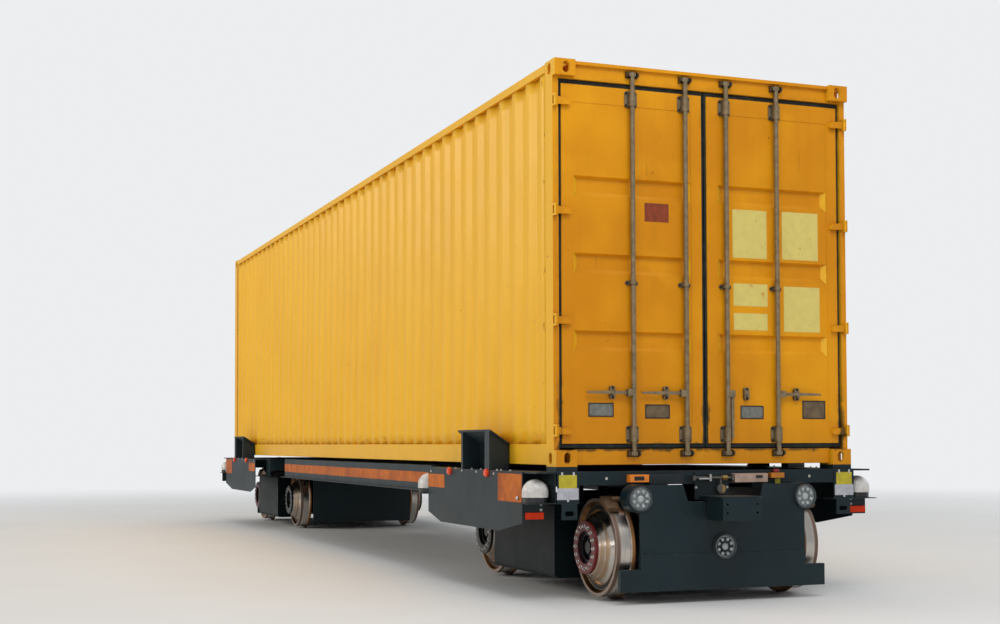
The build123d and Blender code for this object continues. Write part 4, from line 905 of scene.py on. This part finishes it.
class FLATCAR_OT_stripes(bpy.types.Operator):
    """Put the orange reflective strips on the fascias and side sills"""

    bl_idname = "flatcar.stripes"
    bl_label = "Reflective strips"

    # lowest and highest x, lowest and highest z
    PATCHES = ((3.724, 4.147, 0.768, 0.878), (5.385, 5.859, 0.709, 0.912))
    LONG_STRIP = (-2.5, 3.38, 0.785, 0.880)
    THICK = 0.0012

    def execute(self, context):
        bm = bmesh.new()
        for turn in WAYS:
            for mirror in WAYS:
                for patch in self.PATCHES:
                    self.strip(bm, "fascias", turn, -mirror * turn, *patch)
        for turn in WAYS:
            self.strip(bm, "side_sills", turn, -turn, *self.LONG_STRIP)
        modelled("reflective_strips", bm, "stripe", "car")
        return {"FINISHED"}

    def strip(self, bm, node, turn, side, x0, x1, z0, z1):
        place = on_side([node], turn * (x0 + x1) / 2, side, (z0 + z1) / 2)
        plate(bm, place, (0, side, 0), (x1 - x0, z1 - z0, self.THICK), 0.003)


class FLATCAR_OT_end_trim(bpy.types.Operator):
    """Dress both end beams: labels, clips, tags, marks, handles, knobs and bolts"""

    bl_idname = "flatcar.end_trim"
    bl_label = "End trim"

    # piece, finish, node that carries it, lowest and highest y, lowest and highest z, thickness
    ROWS = (
        ("warning_marks", "mark_dark", "warning_lights", -0.648, -0.569, 0.865, 0.894, 0.0010),
        ("bar_marks", "mark_dark", "end_boxes", 0.345, 0.402, 0.872, 0.893, 0.0010),
        ("button_tags", "tag_yellow", "end_platforms", 0.540, 0.585, 0.830, 0.868, 0.0025),
    )
    # piece, finish, thickness, then the y and z of each middle, its width and its height
    LABELS = (
        ("labels_yellow", "label_yellow", 0.002, ((1.1395, 0.8615, 0.137, 0.093),)),
        ("labels_grey", "label_grey", 0.002, ((1.140, 0.7745, 0.164, 0.081),)),
        ("label_clips", "knob_white", 0.0045, ((1.095, 0.914, 0.014, 0.026),
                                               (1.184, 0.914, 0.014, 0.026),
                                               (1.140, 0.728, 0.014, 0.016))),
    )
    # a valve handle's lug and lever: y and z of their middles, width and height
    HANDLE = ((-0.040, 0.879, 0.016, 0.050), (-0.090, 0.873, 0.090, 0.011))
    KNOB = ((0, 0.018), (0.008, 0.016), (0.012, 0.009), (0.008, 0.002), (0.008, 0))
    BOLTS = ((-0.128, 0.807), (0.128, 0.807), (-0.838, 0.880), (0.838, 0.880), (-0.300, 0.800),
             (0.300, 0.815))

    def execute(self, context):
        for name, finish, node, y0, y1, z0, z1, thick in self.ROWS:
            bm = bmesh.new()
            for way in WAYS:
                place = on_end([node], way, (y0 + y1) / 2, (z0 + z1) / 2)
                plate(bm, place, (way, 0, 0), (y1 - y0, z1 - z0, thick), 0.003)
            modelled(name, bm, finish, "car")
        for name, finish, thick, rows in self.LABELS:
            bm = bmesh.new()
            for way in WAYS:
                for side in (-1, 1):
                    for y, z, width, height in rows:
                        place = on_end(["corner_brackets"], way, side * y, z)
                        plate(bm, place, (way, 0, 0), (width, height, thick), 0.003)
            modelled(name, bm, finish, "car")
        self.handles()
        self.bolts(context.scene.flatcar_trim.bolt)
        return {"FINISHED"}

    def handles(self):
        """The air valves' flat handles, and a round knob on each end beam."""
        bm = bmesh.new()
        for way in WAYS:
            valve = on_end(["air_couplings"], way, -0.040, 0.877)
            for y, z, width, height in self.HANDLE:
                plate(bm, (valve.x, way * y, z), (way, 0, 0), (width, height, 0.004))
        modelled("valve_handles", bm, "chrome", "car")
        bm = bmesh.new()
        for way in WAYS:
            knob = on_end(["end_platforms", "couplers"], way, -0.204, 0.790)
            spun(bm, self.KNOB, seat(knob, (way, 0, 0)), 16)
        modelled("beam_knobs", bm, "knob_white", "car", 40)

    def bolts(self, radius):
        """Bolts of the end beams, the coupler blocks, the boxes and the lamp brackets."""
        bm = bmesh.new()
        for way in WAYS:
            for y, z in self.BOLTS:
                place = on_end(["end_platforms", "couplers", "end_boxes"], way, y, z)
                bolt_head(bm, place, (way, 0, 0), radius)
            for side in (-1, 1):
                for z in (0.661, 0.700):
                    place = on_end(["corner_brackets"], way, way * side * 1.290, z)
                    bolt_head(bm, place, (way, 0, 0), radius)
        modelled("end_bolts", bm, "knob_white", "car", 30)


class FLATCAR_OT_headlamps(bpy.types.Operator):
    """Build the headlamps: bezel, bowl and round lenses"""

    bl_idname = "flatcar.headlamps"
    bl_label = "Headlamps"

    PLACES = ((-0.670, 0.740), (0.670, 0.740), (0.0, 0.391))
    # profiles, as shares of a lamp's radius and depth
    BEZEL = ((0.84, 0), (1, 0), (1, 0.75), (0.97, 0.97), (0.90, 0.97), (0.87, 0.70), (0.84, 0))
    BOWL = ((0.87, 0.1), (0.86, 0.55), (0.60, 0.30), (0.34, 0.45), (0, 0.45))
    RING = 0.62

    def execute(self, context):
        count = context.scene.flatcar_trim.lamp_lenses
        for end, way in ENDS:
            lo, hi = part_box(f"headlamps_{end}")
            face = lo.x if way > 0 else hi.x
            radius, depth = hi.z - self.PLACES[0][1], hi.x - lo.x
            bezel, bowl, lens = bmesh.new(), bmesh.new(), bmesh.new()
            for y, z in self.PLACES:
                spot = seat((face, way * y, z), (way, 0, 0))
                for bm, profile in ((bezel, self.BEZEL), (bowl, self.BOWL)):
                    spun(bm, [(r * radius, h * depth) for r, h in profile], spot, 48)
                self.lens(lens, spot, 0, 0, 0.30 * radius, 0.42 * depth, 0.5 * depth)
                for i in range(count):
                    turn = math.tau * (i + 0.5) / count
                    self.lens(lens, spot, math.cos(turn) * self.RING * radius,
                              math.sin(turn) * self.RING * radius, 0.17 * radius, 0.32 * depth,
                              0.5 * depth)
            for name, bm, finish in (("lamp_bezels", bezel, "bezel"),
                                     ("lamp_bowls", bowl, "lamp_bowl"),
                                     ("lamp_lenses", lens, "lamp_lens")):
                piece = modelled(f"{name}_{end}", bm, finish, f"bogie_{end}", 40)
                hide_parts(f"headlamps_{end}")
        return {"FINISHED"}

    def lens(self, bm, spot, x, y, radius, base, rise):
        """A small domed lens that stands in the bowl."""
        arc = [(radius * math.sin(a), base + rise * math.cos(a))
               for a in (0, 0.35, 0.75, 1.15, math.pi / 2)]
        spun(bm, arc + [(radius, base - 0.2 * rise), (0, base - 0.2 * rise)],
             spot @ Matrix.Translation((x, y, 0)), 16)


class FLATCAR_OT_hub_bolts(bpy.types.Operator):
    """Bolt the hub rings to the wheels"""

    bl_idname = "flatcar.hub_bolts"
    bl_label = "Hub bolts"

    RADIUS, HEIGHT = 0.0095, 0.013

    def execute(self, context):
        trim = context.scene.flatcar_trim
        for end, way in ENDS:
            for row, x in (("outer", OUTER_AXLE_X), ("inner", INNER_AXLE_X)):
                bm = bmesh.new()
                for side in (-1, 1):
                    for i in range(trim.hub_bolts):
                        turn = math.tau * i / trim.hub_bolts
                        place = (way * x + trim.hub_circle * math.cos(turn), side * HUB_Y,
                                 AXLE_Z + trim.hub_circle * math.sin(turn))
                        bolt_head(bm, place, (0, side, 0), self.RADIUS, self.HEIGHT)
                modelled(f"hub_bolts_{end}_{row}", bm, "chrome", f"wheelset_{end}_{row}", 30)
        return {"FINISHED"}


class FLATCAR_OT_brake_shoes(bpy.types.Operator):
    """Hang a cast brake shoe over each wheel's tread"""

    bl_idname = "flatcar.brake_shoes"
    bl_label = "Brake shoes"

    GAP, THICK, CHAMFER = 0.006, 0.040, 0.008
    ARC = (47, 69)  # degrees over the axle at which a shoe starts and ends
    SPAN_Y = (0.752, 0.856)
    # the hanger's rods: start and end from the axle, radius
    RODS = (
        ((0.21, 0.575, 0.354), (0.21, 0.80, 0.354), 0.017),
        ((0.21, 0.578, 0.365), (0.21, 0.578, 0.235), 0.018),
    )

    def execute(self, context):
        for end, way in ENDS:
            bm = bmesh.new()
            for x, lean in ((OUTER_AXLE_X, 1), (INNER_AXLE_X, -1)):
                for side in (-1, 1):
                    self.shoe(bm, Vector((way * x, 0, AXLE_Z)), way * lean, side)
            modelled(f"brake_shoes_{end}", bm, "brake_brown", f"bogie_{end}", 40)
        return {"FINISHED"}

    def shoe(self, bm, axle, lean, side):
        """An arc of iron round the tread, with its hanger down to the bogie's frame."""
        inner = TREAD_R + self.GAP
        outer, (y0, y1) = inner + self.THICK, self.SPAN_Y
        first, last = (math.radians(angle) for angle in self.ARC)
        ring = [(inner, y0), (inner, y1), (outer - self.CHAMFER, y1), (outer, y1 - 0.014),
                (outer, y0 + 0.014), (outer - self.CHAMFER, y0)]
        verts = [bm.verts.new(axle + Vector((lean * r * math.cos(first), side * y,
                                             r * math.sin(first)))) for r, y in ring]
        bmesh.ops.spin(bm, geom=[bm.faces.new(verts)], cent=axle, axis=(0, -lean, 0),
                       angle=last - first, steps=8, use_duplicate=False)
        for start, stop, radius in self.RODS:
            a, b = (axle + Vector((lean * p[0], side * p[1], p[2])) for p in (start, stop))
            bmesh.ops.create_cone(bm, cap_ends=True, segments=12, radius1=radius, radius2=radius,
                                  depth=(b - a).length, matrix=seat((a + b) / 2, b - a))


class FLATCAR_OT_deck_trim(bpy.types.Operator):
    """Bolt the fascias and decks, and put a round knob on each fascia"""

    bl_idname = "flatcar.deck_trim"
    bl_label = "Deck trim"

    # x and z of the fascias' bolts, x and y of the decks', and a knob's place and profile
    FASCIA_BOLTS = ((4.583, 0.9165), (4.920, 0.913), (3.800, 0.900), (5.300, 0.905))
    DECK_BOLTS, DECK_Y = (4.380, 4.763, 4.972, 5.320, 5.402, 5.590), 1.366
    KNOB_X, KNOB_Z = 5.795, 0.740
    KNOB = ((0, 0.020), (0.011, 0.017), (0.015, 0.010), (0.008, 0.003), (0.008, 0))

    def execute(self, context):
        bolt = context.scene.flatcar_trim.bolt
        bm = bmesh.new()
        for way in WAYS:
            for side in (-1, 1):
                for x, z in self.FASCIA_BOLTS:
                    bolt_head(bm, on_side(["fascias"], way * x, side, z), (0, side, 0), bolt)
                for x in self.DECK_BOLTS:
                    place = landing(["end_platforms"], (way * x, side * self.DECK_Y, ABOVE),
                                    (0, 0, -1))
                    bolt_head(bm, place, (0, 0, 1), bolt, 1.4 * bolt)
                knob = on_side(["fascias"], way * self.KNOB_X, side, self.KNOB_Z)
                spun(bm, self.KNOB, seat(knob, (0, side, 0)), 16)
        modelled("deck_bolts", bm, "knob_white", "car", 30)
        return {"FINISHED"}


class FLATCAR_PT_panel(bpy.types.Panel):
    """The car's steps, in the order in which they are made"""

    bl_idname = "FLATCAR_PT_panel"
    bl_label = "Flatcar"
    bl_space_type = "VIEW_3D"
    bl_region_type = "UI"
    bl_category = "Flatcar"

    def draw(self, context):
        for group in (context.scene.flatcar_studio, context.scene.flatcar_finish,
                      context.scene.flatcar_sheet, context.scene.flatcar_trim):
            for name in group.bl_rna.properties.keys():
                if name not in {"rna_type", "name"}:
                    self.layout.prop(group, name)
        for step in STEPS:
            self.layout.operator(step.bl_idname)


SETTINGS = (
    ("flatcar_studio", StudioSettings),
    ("flatcar_finish", FinishSettings),
    ("flatcar_sheet", SheetSettings),
    ("flatcar_trim", TrimSettings),
)
STEPS = (FLATCAR_OT_studio, FLATCAR_OT_cad_finish, FLATCAR_OT_walls, FLATCAR_OT_door_bolts,
         FLATCAR_OT_door_plates, FLATCAR_OT_stripes, FLATCAR_OT_end_trim, FLATCAR_OT_headlamps,
         FLATCAR_OT_hub_bolts, FLATCAR_OT_brake_shoes, FLATCAR_OT_deck_trim)


def register():
    for name, group in SETTINGS:
        bpy.utils.register_class(group)
        setattr(bpy.types.Scene, name, PointerProperty(type=group))
    for cls in (*STEPS, FLATCAR_PT_panel):
        bpy.utils.register_class(cls)


def unregister():
    for cls in (FLATCAR_PT_panel, *reversed(STEPS)):
        bpy.utils.unregister_class(cls)
    for name, group in reversed(SETTINGS):
        delattr(bpy.types.Scene, name)
        bpy.utils.unregister_class(group)


def main():
    register()
    bpy.ops.flatcar.studio()
    bpy.ops.flatcar.cad_finish()
    bpy.ops.flatcar.walls()
    bpy.ops.flatcar.door_bolts()
    bpy.ops.flatcar.door_plates()
    bpy.ops.flatcar.stripes()
    bpy.ops.flatcar.end_trim()
    bpy.ops.flatcar.headlamps()
    bpy.ops.flatcar.hub_bolts()
    bpy.ops.flatcar.brake_shoes()
    bpy.ops.flatcar.deck_trim()


if __name__ == "__main__":
    main()
